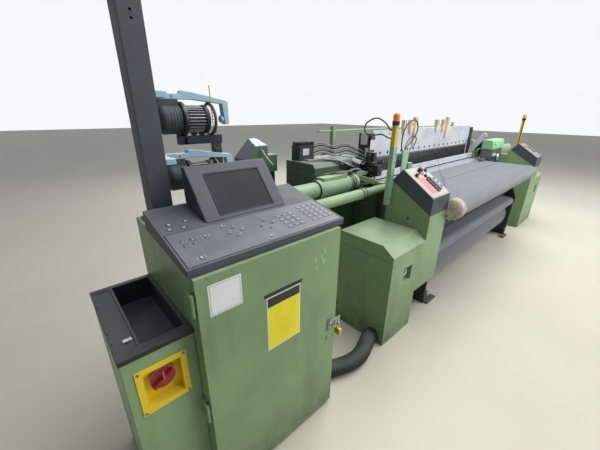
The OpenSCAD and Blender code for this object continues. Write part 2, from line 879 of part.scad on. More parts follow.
module journals() {
    for (c = [[roll_y, breast_z], takeup, press, cloth_roll_c])
        rod_x(stand_x0 - overrun, stand_x1 + overrun, c[0], c[1], journal_r + run_fit);
}

module roller_stand() {
    difference() {
        along_x(stand_x0, stand_x1)
            polygon(stand_outline);
        journals();
    }
    block([stand_x1, stand_foot_y[0], 0], [stand_x1 + stand_foot_w, stand_foot_y[1], stand_foot_t]);
    block([stand_x1, stand_foot_y[1] - stand_foot_t, 0],
        [stand_x1 + 3 * stand_foot_t, stand_foot_y[1], 6 * stand_foot_t]);
}

module roller_stands() {
    placed() color(black)
        cloth_ends()
            roller_stand();
}

module roller(c, r) {
    rod_x(stand_x1 + roller_gap, 2 * cloth_mid - stand_x1 - roller_gap, c[0], c[1], r);
    rod_x(stand_x0, 2 * cloth_mid - stand_x0, c[0], c[1], journal_r);
}

module breast_roll() {
    placed() color(steel)
        roller([roll_y, breast_z], breast_r);
}

module take_up_roller() {
    placed() color(black)
        roller(takeup, takeup_r);
}

module press_roller() {
    placed() color(steel)
        roller(press, press_r);
}

module cloth_roll() {
    placed() color(cloth_grey) {
        roller(cloth_roll_c, 2 * journal_r);
        rod_x(cloth_x, cloth_end, cloth_roll_c[0], cloth_roll_c[1], cloth_roll_r);
    }
}

// A web that passes round rollers. Each roller is y, z and signed radius:
// plus where the web turns anticlockwise seen from the right, minus where it turns clockwise.
web_steps = 36;
function line_angle(a, b) =
    let (d = [b[0] - a[0], b[1] - a[1]])
    atan2(d[1], d[0]) - acos((a[2] - b[2]) / norm(d));
function turn_by(a, b, s) = s > 0 ? ((b - a) % 360 + 360) % 360 : -(((a - b) % 360 + 360) % 360);
function web_arc(c, a, sweep, side) =
    [for (k = [0 : web_steps]) let (p = a + sweep * k / web_steps)
        [c[0] + (c[2] + side) * cos(p), c[1] + (c[2] + side) * sin(p)]];
function web_side(rollers, last_sweep, side) =
    let (n = len(rollers))
    [for (i = [0 : n - 1])
        let (a = i == 0 ? line_angle(rollers[0], rollers[1]) : line_angle(rollers[i - 1], rollers[i]),
            b = i == n - 1 ? a + last_sweep : line_angle(rollers[i], rollers[i + 1]),
            sweep = i == 0 || rollers[i][2] == 0 ? 0 : i == n - 1 ? last_sweep : turn_by(a, b, rollers[i][2]))
        for (p = sweep == 0 ? [[rollers[i][0] + side * cos(a), rollers[i][1] + side * sin(a)]]
            : web_arc(rollers[i], a, sweep, side)) p];
function reversed(v) = [for (i = [len(v) - 1 : -1 : 0]) v[i]];
function web_band(rollers, last_sweep, t) =
    concat(web_side(rollers, last_sweep, t / 2), reversed(web_side(rollers, last_sweep, -t / 2)));

web_off = roll_fit + web_t / 2;
cloth_z = breast_z + breast_r + web_off;
fell_y = 582;
cloth_path = [[fell_y, cloth_z, 0],
    [roll_y, breast_z, breast_r + web_off],
    [takeup[0], takeup[1], -takeup_r - web_off],
    [press[0], press[1], press_r + web_off],
    [cloth_roll_c[0], cloth_roll_c[1], -cloth_roll_r - web_off]];
cloth_tail = -24;

module cloth_web() {
    placed() color(cloth_grey)
        along_x(cloth_x, cloth_end)
            polygon(web_band(cloth_path, cloth_tail, web_t));
}

// Warp sheet from behind the healds, over the back rest, to the warp beam
warp_start_y = heald_y + 3 * heald_pitch + 30;
warp_path = [[warp_start_y, cloth_z, 0],
    [backrest[0], backrest[1], -backrest_r - web_off],
    [warp_y, warp_z, -warp_r - web_off]];
warp_tail = -20;

module warp_sheet() {
    placed() color(white)
        along_x(cloth_x, cloth_end)
            polygon(web_band(warp_path, warp_tail, web_t));
}

barrel_r = 110;
flange_t = 12;
beam_gap = 3;

module warp_beam() {
    placed() color(steel) {
        rod_x(inner_l - frame_t, inner_r + frame_t, warp_y, warp_z, beam_journal_r);
        rod_x(inner_l + beam_gap, inner_r - beam_gap, warp_y, warp_z, barrel_r);
        rod_x(cloth_x, cloth_end, warp_y, warp_z, warp_r);
        for (x = [cloth_x - flange_t - beam_gap, cloth_end + beam_gap])
            rod_x(x, x + flange_t, warp_y, warp_z, flange_r);
    }
}

module back_rest_roller() {
    placed() color(steel) {
        rod_x(inner_l - frame_t, inner_r + frame_t, backrest[0], backrest[1], backrest_journal_r);
        rod_x(inner_l + beam_gap, inner_r - beam_gap, backrest[0], backrest[1], backrest_r);
    }
}

// Warp stop motion: contact bars over the warp with rows of drop wires
stop_count = 4;
stop_pitch = 46;
stop_y = 1010;
stop_bar_t = 6;
stop_bar_h = 22;
stop_z = 968;
drop_t = 1.6;
drop_gap_count = 40;
drop_h = 62;

module drop_row(y) {
    drop_pitch = cloth_w / drop_gap_count;
    difference() {
        block([cloth_x, y - drop_t / 2, cloth_z + web_t / 2 + seat_gap],
            [cloth_end, y + drop_t / 2, cloth_z + web_t + drop_h]);
        for (i = [0 : drop_gap_count - 1])
            block([cloth_x + (i + 0.25) * drop_pitch, y - drop_t, 0],
                [cloth_x + (i + 0.75) * drop_pitch, y + drop_t, stop_z - overrun]);
    }
}

module stop_motion() {
    placed() color(steel) {
        for (i = [0 : stop_count - 1]) {
            y = stop_y + i * stop_pitch;
            block([inner_l, y - stop_bar_t / 2, stop_z], [inner_r, y + stop_bar_t / 2, stop_z + stop_bar_h]);
            drop_row(y);
        }
        for (x = [inner_l, inner_r - stop_bar_t])
            block([x, stop_y - stop_pitch / 2, stop_z - stop_bar_h / 2],
                [x + stop_bar_t, stop_y + (stop_count - 0.5) * stop_pitch, stop_z + stop_bar_h]);
    }
}

// Low cover: a floor-standing cover with a slanted front lid, a lid joint and a latch pocket
cover_slant = 84;
cover_notch = 53;
groove_z = 640;
groove = 3;
pocket_x0 = cover_x + 156;
pocket_w = 104;
pocket_z0 = 436;
pocket_h = 112;
pocket_d = 30;
cover_lock_r = 11;
cover_lock_y = 66;
cover_lock_z = 612;
cover_lock_t = 5;

module low_cover(notch) {
    difference() {
        along_x(cover_x, column_x)
            polygon([[front_y, 0], [front_y, cover_front_h], [front_y + cover_slant, cover_h],
                [front_y + cover_d, cover_h], [front_y + cover_d, 0]]);
        block([column_x - notch, front_y - overrun, -overrun],
            [column_x + overrun, front_y + cover_d + overrun, column_low]);
        block([cover_x - overrun, front_y - overrun, groove_z],
            [cover_x + groove, front_y + cover_d + overrun, groove_z + groove]);
        block([pocket_x0, front_y - overrun, pocket_z0],
            [pocket_x0 + pocket_w, front_y + pocket_d, pocket_z0 + pocket_h]);
    }
    rod_x(cover_x - cover_lock_t, cover_x, front_y + cover_lock_y, cover_lock_z, cover_lock_r);
}

module low_covers() {
    placed() color(green) {
        low_cover(cover_notch);
        mirrored()
            low_cover(0);
    }
}

// Cover latch: a turning hub with a short lever in the pocket
latch_r = 17;
latch_lever = 34;
latch_lever_w = 14;
latch_lever_t = 8;
latch_hub_t = 14;

module cover_latch() {
    latch_x = pocket_x0 + pocket_w / 2;
    latch_z = pocket_z0 + pocket_h / 2;
    back = front_y + pocket_d - seat_gap;
    rod_y(back - latch_hub_t, back, latch_x, latch_z, latch_r);
    block([latch_x - latch_lever_w / 2, back - latch_hub_t - latch_lever_t / 2, latch_z],
        [latch_x + latch_lever_w / 2, back - latch_hub_t + latch_lever_t / 2, latch_z + latch_lever]);
}

module left_cover_latch() {
    placed() color(steel)
        cover_latch();
}

module right_cover_latch() {
    placed() color(steel)
        mirrored()
            cover_latch();
}

// End column and the panel box on its slanting top
panel_back_y = 352;
panel_back_z = 1049;
panel_back_lip = 20;
end_bracket_w = 60;
end_bracket_top = 1150;
panel_top_y = 276;
panel_top_z = 1136;
panel_z = column_h + panel_t;
inspect_r = 9;
inspect_y = 190;
inspect_z = 800;

module end_column(low) {
    difference() {
        along_x(column_x, column_end)
            polygon([[front_y, low], [front_y, column_h], [panel_back_y, panel_back_z],
                [frame_y0, panel_back_z - panel_back_lip], [frame_y0, low]]);
        rod_x(column_x - overrun, column_x + pocket_d, inspect_y, inspect_z, inspect_r);
    }
}

module left_column() {
    placed() color(green) {
        end_column(column_low);
        block([column_end - end_bracket_w, panel_back_y + overrun, column_h],
            [column_end, frame_y0, end_bracket_top]);
    }
}

module right_column() {
    placed() color(green)
        mirrored()
            end_column(0);
}

module panel_box() {
    along_x(column_x, column_end)
        polygon([[front_y, column_h], [front_y, panel_z], [panel_top_y, panel_top_z],
            [panel_back_y, panel_back_z]]);
}

module panel_boxes() {
    placed() color(slate) {
        difference() {
            panel_box();
            for (p = [stop_at, start_at])
                panel_hole(p, button_r + button_hole);
            panel_hole(estop_at, estop_stem_r + button_hole);
        }
        mirrored()
            panel_box();
    }
}

panel_slope = atan2(panel_top_z - panel_z, panel_top_y - front_y);
panel_len = norm([panel_top_y - front_y, panel_top_z - panel_z]);
plate_t = 2;
plate_edge = 6;

module on_panel(x, u) {
    translate([column_x + x, front_y, panel_z])
        rotate([panel_slope, 0, 0])
            translate([0, u, 0])
                children();
}

// White panel plate with its fixed keys; the buttons stand in its holes
estop_at = [158, 246];
selector_at = [66, 212];
stop_at = [233, 240];
start_at = [168, 192];
button_r = 11;
button_hole = 0.4;
estop_stem_r = 9;
fixed_key = [26, 20, 6];
fixed_keys_u = [149, 122, 91, 61];

hole_depth = 12;

module panel_hole(p, r) {
    on_panel(p[0], p[1])
        translate([0, 0, -hole_depth])
            cylinder(h = hole_depth + plate_t + overrun, r = r);
}

module panel_sheet_metal() {
    on_panel(plate_edge, plate_edge)
        cube([column_w - 2 * plate_edge, panel_len - 2 * plate_edge, plate_t]);
    for (u = fixed_keys_u)
        on_panel(start_at[0] - fixed_key[0] / 2, u - fixed_key[1] / 2)
            cube([fixed_key[0], fixed_key[1], plate_t + fixed_key[2]]);
}

module panel_plates() {
    placed() color(white) {
        difference() {
            panel_sheet_metal();
            panel_hole(estop_at, estop_stem_r + button_hole);
            for (p = [selector_at, stop_at, start_at])
                panel_hole(p, button_r + button_hole);
        }
        mirrored() {
            panel_sheet_metal();
            for (p = [estop_at, selector_at, stop_at, start_at])
                on_panel(p[0], p[1])
                    cylinder(h = plate_t + fixed_key[2], r = button_r);
        }
    }
}

estop_head_r = 21;
estop_head_t = 14;
estop_lift = 12;

module emergency_stop() {
    placed() color(red)
        on_panel(estop_at[0], estop_at[1]) {
            translate([0, 0, seat_gap])
                cylinder(h = plate_t + estop_lift, r = estop_stem_r);
            translate([0, 0, plate_t + estop_lift])
                cylinder(h = estop_head_t, r1 = estop_head_r, r2 = estop_head_r * 0.8);
        }
}

selector_t = 16;

module selector_knob() {
    placed() color(black)
        on_panel(selector_at[0], selector_at[1]) {
            translate([0, 0, seat_gap])
                cylinder(h = plate_t + selector_t / 2, r = button_r);
            translate([0, 0, plate_t + selector_t / 2 - overrun]) {
                cylinder(h = selector_t / 2, r = button_r + 2 * overrun);
                translate([-button_r - 5 * overrun, -button_r / 2, 0])
                    cube([2 * button_r + 10 * overrun, button_r, selector_t]);
            }
        }
}

button_h = 13;

module push_button(at) {
    on_panel(at[0], at[1])
        translate([0, 0, seat_gap])
            cylinder(h = plate_t + button_h, r = button_r);
}

module stop_button() {
    placed() color(red)
        push_button(stop_at);
}

module start_button() {
    placed() color(black)
        push_button(start_at);
}

// Signal lamps: an angled post on each end column, a black base and an orange dome
post_w = 36;
post_d = 30;
post_x = column_x - 14 - post_w;
post_y0 = 342;
post_z0 = 872;
post_wall = 4;
lamp_base_r = 25;
lamp_base_h = 28;
lamp_r = 23;
lamp_h = 52;
lamp_x = post_x + post_w / 2;
lamp_y = post_y0 + post_d / 2;
post_brackets = [910, 1000];
bracket_h = 24;

module lamp_posts() {
    placed() color(yellow)
        both_ends() {
            difference() {
                block([post_x, post_y0, post_z0], [post_x + post_w, post_y0 + post_d, post_top]);
                block([post_x + post_wall, post_y0 + post_wall, post_z0 - overrun],
                    [post_x + post_w - post_wall, post_y0 + post_d - post_wall, post_top - post_wall]);
            }
            for (z = post_brackets)
                block([post_x + post_w, post_y0 + post_wall, z],
                    [column_x, post_y0 + post_d - post_wall, z + bracket_h]);
        }
}

module lamp_bases() {
    placed() color(black)
        both_ends()
            rod_z(post_top, post_top + lamp_base_h, lamp_x, lamp_y, lamp_base_r);
}

module beacons() {
    placed() color(orange)
        both_ends()
            translate([lamp_x, lamp_y, post_top + lamp_base_h])
                rotate_extrude()
                    polygon([[0, 0], [lamp_r, 0], [lamp_r, lamp_h * 0.62],
                        for (a = [10 : 10 : 90]) [lamp_r * cos(a), lamp_h * (0.62 + 0.38 * sin(a))]]);
}

// Temples at the cloth's edges, on arms from the front girder
temple_w = 140;
temple_y0 = 500;
temple_y1 = 545;
temple_h = 30;
temple_arm_w = 18;
temple_gap = 2;

module temples() {
    placed() color(steel)
        cloth_ends() {
            block([cloth_x - temple_arm_w - temple_gap, girder_front[1][0], girder_front[0][1] + girder_wall],
                [cloth_x - temple_gap, temple_y1, cloth_z + web_t + temple_h]);
            block([cloth_x - temple_gap, temple_y0, cloth_z + web_t / 2 + seat_gap],
                [cloth_x + temple_w, temple_y1, cloth_z + web_t + temple_h]);
        }
}

// Sley: a rocking shaft with swords, the beam and the race on them
sley_over = 10;
sley_x0 = cloth_x - sley_over;
sley_x1 = cloth_end + sley_over;
sword_count = 6;
sword_w = 30;
sley_beam_y = [640, 745];
sword_foot = [650, 742];
sword_top = [660, 738];
sword_inset = 40;
sword_drop = 20;
sley_beam_z = [735, 830];
race_z = 905;
race_y = [655, reed_y - 2];
reed_t = 8;

module sley_beam() {
    placed() color(steel) {
        rod_x(inner_l - frame_t, inner_r + frame_t, sley_pivot[0], sley_pivot[1], sley_shaft_r);
        for (i = [0 : sword_count - 1]) {
            x = sley_x0 + sword_inset + i * (sley_x1 - sley_x0 - 2 * sword_inset - sword_w) / (sword_count - 1);
            along_x(x, x + sword_w)
                polygon([[sword_foot[0], sley_pivot[1] - sword_drop],
                    [sword_foot[1], sley_pivot[1] - sword_drop],
                    [sword_top[1], sley_beam_z[0] + overrun], [sword_top[0], sley_beam_z[0] + overrun]]);
        }
        block([sley_x0, sley_beam_y[0], sley_beam_z[0]], [sley_x1, sley_beam_y[1], sley_beam_z[1]]);
        block([sley_x0, race_y[0], sley_beam_z[1] - overrun], [sley_x1, race_y[1], race_z]);
    }
}

// Reed: a comb between two baulks, standing in the sley
reed_z0 = sley_beam_z[1];
reed_z1 = 1018;
reed_cap_h = 60;
reed_cap_y = [4, 6];
reed_foot_h = 24;
reed_edge = 14;

module reed() {
    reed_pitch = (sley_x1 - sley_x0 - 2 * reed_edge) / reed_gaps;
    placed() color(steel)
        difference() {
            union() {
                block([sley_x0, reed_y, reed_z0], [sley_x1, reed_y + reed_t, reed_z1]);
                block([sley_x0, reed_y - reed_cap_y[0], reed_z1 - reed_cap_h],
                    [sley_x1, reed_y + reed_t + reed_cap_y[1], reed_z1]);
            }
            for (i = [0 : reed_gaps - 1])
                block([sley_x0 + reed_edge + i * reed_pitch, reed_y - overrun, reed_z0 + reed_foot_h],
                    [sley_x0 + reed_edge + (i + 0.8) * reed_pitch, reed_y + reed_t + overrun,
                        reed_z1 - reed_cap_h]);
        }
}

// Heald frames: upper and lower bars, end struts and a row of healds
guide_x0 = inner_l;
guide_x1 = cloth_x + 26;
guide_slot = 14;
heald_x0 = guide_x1 - guide_slot + 2;
heald_x1 = 2 * cloth_mid - heald_x0;
heald_top = 1362;
heald_low = 567;
heald_foot_h = 110;
strut_w = 34;
heald_count = 44;
heald_wire_w = 3;
heald_rest_shares = [0, -1, -0.5];
bar_hole_r = 5;
bar_hole_count = 26;
bar_hole_z = 26;

module heald_frame(i) {
    x0 = heald_x0 + strut_w;
    x1 = heald_x1 - strut_w;
    wire_pitch = (x1 - x0) / heald_count;
    hole_pitch = (x1 - x0) / bar_hole_count;
    translate([0, heald_y + i * heald_pitch, heald_rest_shares[i] * heald_lift])
        difference() {
            block([heald_x0, 0, heald_low], [heald_x1, heald_t, heald_top]);
            for (k = [0 : heald_count - 1])
                block([x0 + k * wire_pitch + heald_wire_w / 2, -overrun, heald_low + heald_foot_h],
                    [x0 + (k + 1) * wire_pitch - heald_wire_w / 2, heald_t + overrun, heald_top - heald_bar_h]);
            block([x0, -overrun, heald_low + heald_foot_h + overrun],
                [x1, heald_t / 2 - overrun, heald_top - heald_bar_h - overrun]);
            block([x0, heald_t / 2 + overrun, heald_low + heald_foot_h + overrun],
                [x1, heald_t + overrun, heald_top - heald_bar_h - overrun]);
            for (k = [0 : bar_hole_count - 1])
                rod_y(-overrun, heald_t + overrun, x0 + (k + 0.5) * hole_pitch,
                    heald_top - heald_bar_h + bar_hole_z, bar_hole_r);
        }
}

module heald_frame_1() {
    placed() color(white)
        heald_frame(0);
}

module heald_frame_2() {
    placed() color(white)
        heald_frame(1);
}

module heald_frame_3() {
    placed() color(white)
        heald_frame(2);
}

// Wooden clips standing on the first heald frame's upper bar
clip_xs = [2409, 2529, 2616, 3104, 3264, 3366];
clip_lows = [40, 40, 148, 40, 40, 124];
clip_highs = [80, 80, 104, 80, 80, 104];
clip_w = 48;
clip_t = 18;
clip_notch_share = 0.55;

module frame_clips() {
    placed() color(wood)
        for (i = [0 : len(clip_xs) - 1])
            translate([clip_xs[i], heald_y, heald_top])
                difference() {
                    block([0, -clip_t, -clip_lows[i]], [clip_w, clip_t, clip_highs[i]]);
                    block([-overrun, 0, -heald_top], [clip_w + overrun, clip_t + overrun, 0]);
                    block([clip_w / 3, -clip_t - overrun, clip_highs[i] * clip_notch_share],
                        [2 * clip_w / 3, clip_t + overrun, clip_highs[i] + overrun]);
                }
}

// Heald guides: grooved slabs at both ends of the frames, the left one with the weft presenter's housing
guide_edge = [14, 40];
guide_y0 = heald_y - guide_edge[0];
guide_y1 = heald_y + 2 * heald_pitch + heald_t + guide_edge[1];
guide_z0 = girder_low[1][1];
guide_z1 = 1340;
guide_foot = 40;
guide_play = 0.3;
presenter = [[inner_l - frame_t, 600, 1000], [inner_l + 20, guide_y0 + 2, 1200]];

module heald_guides() {
    placed() color(black) {
        cloth_ends()
            difference() {
                block([guide_x0, guide_y0, guide_z0], [guide_x1, guide_y1, guide_z1]);
                for (i = [0 : 2])
                    block([guide_x1 - guide_slot, heald_y + i * heald_pitch - guide_play,
                        guide_z0 + guide_foot],
                        [guide_x1 + overrun, heald_y + i * heald_pitch + heald_t + guide_play,
                            guide_z1 + overrun]);
            }
        block(presenter[0], presenter[1]);
    }
}

// Rapiers: toothed rods with gripper heads
rapier_y = 665;
rapier_w = 24;
rapier_h = 20;
rapier_head_l = 150;
rapier_head_w = 20;
rack_pitch = 30;
rack_h = 4;
rack_count = 40;

module rapier(tip) {
    difference() {
        block([tip - rapier_len, rapier_y - rapier_w / 2, rapier_z - rapier_h / 2],
            [tip - rapier_head_l, rapier_y + rapier_w / 2, rapier_z + rapier_h / 2]);
        for (i = [0 : rack_count - 1])
            block([tip - rapier_len + (i + 0.5) * rack_pitch, rapier_y - rapier_w / 4,
                rapier_z + rapier_h / 2 - rack_h],
                [tip - rapier_len + (i + 1) * rack_pitch, rapier_y + rapier_w / 4,
                    rapier_z + rapier_h / 2 + overrun]);
    }
    translate([0, 0, rapier_z - rapier_h / 2])
        linear_extrude(rapier_h * 0.8)
            difference() {
                polygon([[tip - rapier_head_l - overrun, rapier_y - rapier_head_w / 2],
                    [tip - rapier_head_l / 3, rapier_y - rapier_head_w / 2], [tip, rapier_y],
                    [tip - rapier_head_l / 5, rapier_y + rapier_head_w / 2],
                    [tip - rapier_head_l - overrun, rapier_y + rapier_head_w / 2]]);
                polygon([[tip - rapier_head_l * 0.6, rapier_y - rapier_head_w / 8],
                    [tip - rapier_head_l * 0.25, rapier_y - rapier_head_w / 8],
                    [tip - rapier_head_l * 0.35, rapier_y + rapier_head_w / 4],
                    [tip - rapier_head_l * 0.6, rapier_y + rapier_head_w / 4]]);
            }
}

module left_rapier() {
    placed() color(steel)
        rapier(rapier_tip_l);
}

module right_rapier() {
    placed() color(steel)
        translate([2 * rapier_tip_r, 0, 0])
            mirror([1, 0, 0])
                rapier(rapier_tip_r);
}

// Guard tubes of the rapiers, each with a gear housing, and the round cross tube
guard_wall = 5;
guard_z = rapier_z - rapier_h / 2 + sqrt(pow(guard_r - guard_wall - seat_gap, 2) - pow(rapier_w / 2, 2));
guard_y = rapier_y;
guard_housing_r = guard_r + 10;
housing_x0 = 1175;
housing_x1 = 1490;
guard_x0 = rapier_tip_l - rapier_len - guard_over;
guard_end = 1600;
collar_t = 14;
pad_w = 74;
pad_h = 80;
pad_inset = 30;
clamp_r = guard_r + 4;
cross_y = 500;
cross_z = 943;
cross_collar = 20;
cross_collar_rise = 4;
cross_step = 6;
cross_end = 1500;
arm_t = 60;
arm_x = 1323;
bracket_y = 800;

module guard_tube() {
    difference() {
        union() {
            rod_x(guard_x0, guard_end, guard_y, guard_z, guard_r);
            rod_x(housing_x0 - collar_t, housing_x1, guard_y, guard_z, guard_housing_r);
            block([housing_x0 + pad_inset, guard_y - pad_w / 2, guard_z],
                [housing_x1 - pad_inset, guard_y + pad_w / 2, guard_z + pad_h]);
            for (i = [1 : 2])
                rod_x(housing_x1 + 2 * i * collar_t, housing_x1 + (2 * i + 1) * collar_t, guard_y, guard_z,
                    clamp_r);
            block([arm_x, guard_y, guard_z - arm_t / 2], [arm_x + arm_t, bracket_y, guard_z + arm_t / 2]);
        }
        rod_x(guard_x0 + guard_wall, guard_end + overrun, guard_y, guard_z, guard_r - guard_wall);
    }
}

module guard_tubes() {
    placed() color(green) {
        guard_tube();
        translate([rapier_tip_r + rapier_tip_l, 0, 0])
            mirror([1, 0, 0])
                guard_tube();
        rod_x(cab_w, cross_end, cross_y, cross_z, cross_tube_r);
        rod_x(cross_end - 2 * cross_collar, cross_end - cross_collar, cross_y, cross_z,
            cross_tube_r + cross_collar_rise);
        rod_x(cross_end, inner_l - frame_t, cross_y, cross_z, cross_tube_r - cross_step);
    }
}

// Drive covers: the gear box at the left frame and the rapier drive cover at the right frame
gear_l = 515;
gear_x0 = inner_l - frame_t - gear_l;
gear_y = [bracket_y, 1140];
gear_z = [150, 1135];
gear_chamfer = 30;
right_box_gap = 64;
right_box_x = cloth_end + right_box_gap;
right_box_y = [520, 720];
right_box_top = 1185;
right_box_z = [guard_z + guard_housing_r + tip_gap, right_box_top];
right_box_slant = 30;
right_body_front = 462;
right_body_y = [right_body_front, guard_y - guard_housing_r - 2 * overrun];
right_body_z0 = 905;

module drive_covers() {
    placed() color(green) {
        along_x(gear_x0, inner_l - frame_t)
            polygon([[gear_y[0], gear_z[0]], [gear_y[0], gear_z[1] - gear_chamfer],
                [gear_y[0] + gear_chamfer, gear_z[1]],
                [gear_y[1], gear_z[1]], [gear_y[1], gear_z[0]]]);
        along_x(right_box_x, inner_r)
            polygon([[right_box_y[0], right_box_z[0]], [right_box_y[0], right_box_z[1] - right_box_slant],
                [right_box_y[0] + right_box_slant, right_box_z[1]],
                [right_box_y[1] - right_box_slant, right_box_z[1]],
                [right_box_y[1], right_box_z[1] - right_box_slant], [right_box_y[1], right_box_z[0]]]);
        block([inner_r + frame_t, gear_y[0], gear_z[0]],
            [inner_r + 3 * frame_t, gear_y[1], gear_z[1] - gear_chamfer]);
    }
}

// Drive motors: the main motor with cooling fins and the small one on the right cover
motor_r = 108;
motor_y = 990;
motor_z = 340;
motor_l = 230;
fin_count = 9;
fin_t = 6;
fin_h = 12;
small_motor_side = 56;
small_motor_x = right_box_x + small_motor_side;
small_motor_z = 975;
small_motor_r = 48;
small_motor_l = 62;

module drive_motors() {
    placed() color(steel) {
        rod_x(gear_x0 - motor_l, gear_x0, motor_y, motor_z, motor_r - fin_h);
        for (i = [0 : fin_count - 1]) {
            fin_x = gear_x0 - motor_l + i * (motor_l - fin_t) / (fin_count - 1);
            rod_x(fin_x, fin_x + fin_t, motor_y, motor_z, motor_r);
        }
        block([right_box_x, right_body_y[0], right_body_z0], [inner_r, right_body_y[1], right_box_z[0]]);
        rod_y(right_body_y[0] - small_motor_l, right_body_y[0], small_motor_x, small_motor_z, small_motor_r);
        rod_y(right_body_y[0] - small_motor_l - fin_t, right_body_y[0] - small_motor_l + fin_t, small_motor_x,
            small_motor_z, small_motor_r - fin_h);
    }
}

// Dobby housing behind the gear box, joined to the left frame by its lower body
dobby_reach = 980;
dobby_w = 210;
dobby_x = [inner_l - dobby_reach, inner_l - dobby_reach + dobby_w];
dobby_y = [1150, 1310];
dobby_top = [1258, 1302];
dobby_chamfer = 93;
dobby_low = [[1160, 200], [1300, 880]];
dobby_bracket = [[1150, 1050], [1240, 1185]];
dobby_bracket_w = 90;
dobby_shaft_at = [55, 1195];
dobby_shaft_r = 26;

module dobby_box() {
    placed() color(dark_green) {
        intersection() {
            translate([0, dobby_y[1], 0])
                rotate([90, 0, 0])
                    linear_extrude(dobby_y[1] - dobby_y[0])
                        polygon([[dobby_x[0], 0], [dobby_x[0], dobby_top[0] - dobby_chamfer],
                            [dobby_x[0] + dobby_chamfer + dobby_top[1] - dobby_top[0], dobby_top[1]],
                            [dobby_x[1], dobby_top[1]], [dobby_x[1], 0]]);
            along_x(dobby_x[0] - overrun, dobby_x[1] + overrun)
                polygon([[dobby_y[0], 0], [dobby_y[0], dobby_top[0]], [dobby_y[1], dobby_top[1]],
                    [dobby_y[1], 0]]);
        }
        block([dobby_x[1] - overrun, dobby_bracket[0][0], dobby_bracket[0][1]],
            [dobby_x[1] + dobby_bracket_w, dobby_bracket[1][0], dobby_bracket[1][1]]);
        rod_z(dobby_low[1][1] - overrun, dobby_bracket[0][1] + overrun, dobby_x[1] + dobby_shaft_at[0],
            dobby_shaft_at[1], dobby_shaft_r);
        block([dobby_x[1] - overrun, dobby_low[0][0], dobby_low[0][1]],
            [inner_l - frame_t, dobby_low[1][0], dobby_low[1][1]]);
    }
}

// Swept round cables: rings along a smooth curve through hand-picked points
cable_sides = 8;
function curve_at(p, i, t) =
    let (n = len(p) - 1, a = p[max(i - 1, 0)], b = p[i], c = p[min(i + 1, n)], d = p[min(i + 2, n)])
    0.5 * (2 * b + (c - a) * t + (2 * a - 5 * b + 4 * c - d) * t * t + (3 * b - a - 3 * c + d) * t * t * t);
function curve(p, steps) =
    concat([for (i = [0 : len(p) - 2], k = [0 : steps - 1]) curve_at(p, i, k / steps)], [p[len(p) - 1]]);
function unit(v) = v / norm(v);
function along(c, i) = unit(c[min(i + 1, len(c) - 1)] - c[max(i - 1, 0)]);
function ring(c, i, r, sides, up) =
    let (d = along(c, i), s = unit(cross(d, up)), u = cross(s, d))
    [for (k = [0 : sides - 1]) c[i] + r * (cos(360 * k / sides) * s + sin(360 * k / sides) * u)];

module cable(p, r, steps, sides, up) {
    c = curve(p, steps);
    n = len(c);
    polyhedron(
        points = [for (i = [0 : n - 1]) each ring(c, i, r, sides, up)],
        faces = concat([[for (k = [sides - 1 : -1 : 0]) k]], [[for (k = [0 : sides - 1]) (n - 1) * sides + k]],
            [for (i = [0 : n - 2], k = [0 : sides - 1])
                [i * sides + k, i * sides + (k + 1) % sides, (i + 1) * sides + (k + 1) % sides,
                    (i + 1) * sides + k]]));
}

// Connector bank on the gear box, the cables from it to the heald guide, and a loop at the lamp post.
// The routes are measured from the left side frame's inner face.
bank_at = [33, 1010];
bank = [160, 100, 125];
bank_cable_r = 5.5;
bank_cable_count = 5;
bank_cable_pitch = 18;
loop_cable_r = 5;
cable_route = [[-410, 1030, 1160], [-320, 980, 1190], [-240, 910, 1165], [-160, 850, 1185], [-80, 800, 1150],
    [-24, 775, 1125], [-12, 775, 1125], [0, 775, 1125]];
loop_cable = [[-285, 372, 1395], [-285, 384, 1395], [-285, 396, 1395], [-283, 440, 1440], [-281, 514, 1468],
    [-280, 592, 1436], [-278, 612, 1385], [-277, 560, 1345], [-280, 470, 1362], [-290, 408, 1345],
    [-297, 396, 1340], [-297, 384, 1340], [-297, 372, 1340]];

module cable_harness() {
    placed() color(black) {
        translate([gear_x0 + bank_at[0], bank_at[1], gear_z[1]])
            cube(bank);
        for (i = [0 : bank_cable_count - 1])
            translate([inner_l, i * bank_cable_pitch / 2, i * bank_cable_pitch])
                cable(cable_route, bank_cable_r, 3, cable_sides, [0, 0, 1]);
        translate([inner_l, 0, 0])
            cable(loop_cable, loop_cable_r, 3, cable_sides, [1, 0, 0]);
    }
}

// Corrugated hose on the floor from the control cabinet to the left low cover
hose_r = 50;
hose_sides = 12;
hose_lead = 20;
hose_y = [150, 120];
hose_z = 52;
hose_mid_shares = [0.263, 0.439, 0.616, 0.792];
hose_mid_y = [100, 64, 60, 90];
hose_route = concat([for (i = [0 : 2]) [cab_w + i * hose_lead, hose_y[0], hose_z]],
    [for (i = [0 : 3]) [cab_w + hose_mid_shares[i] * cab_gap, hose_mid_y[i], hose_z]],
    [for (i = [2 : -1 : 0]) [cover_x - i * hose_lead, hose_y[1], hose_z]]);

module floor_hose() {
    placed() color(black)
        cable(hose_route, hose_r, 2, hose_sides, [0, 0, 1]);
}

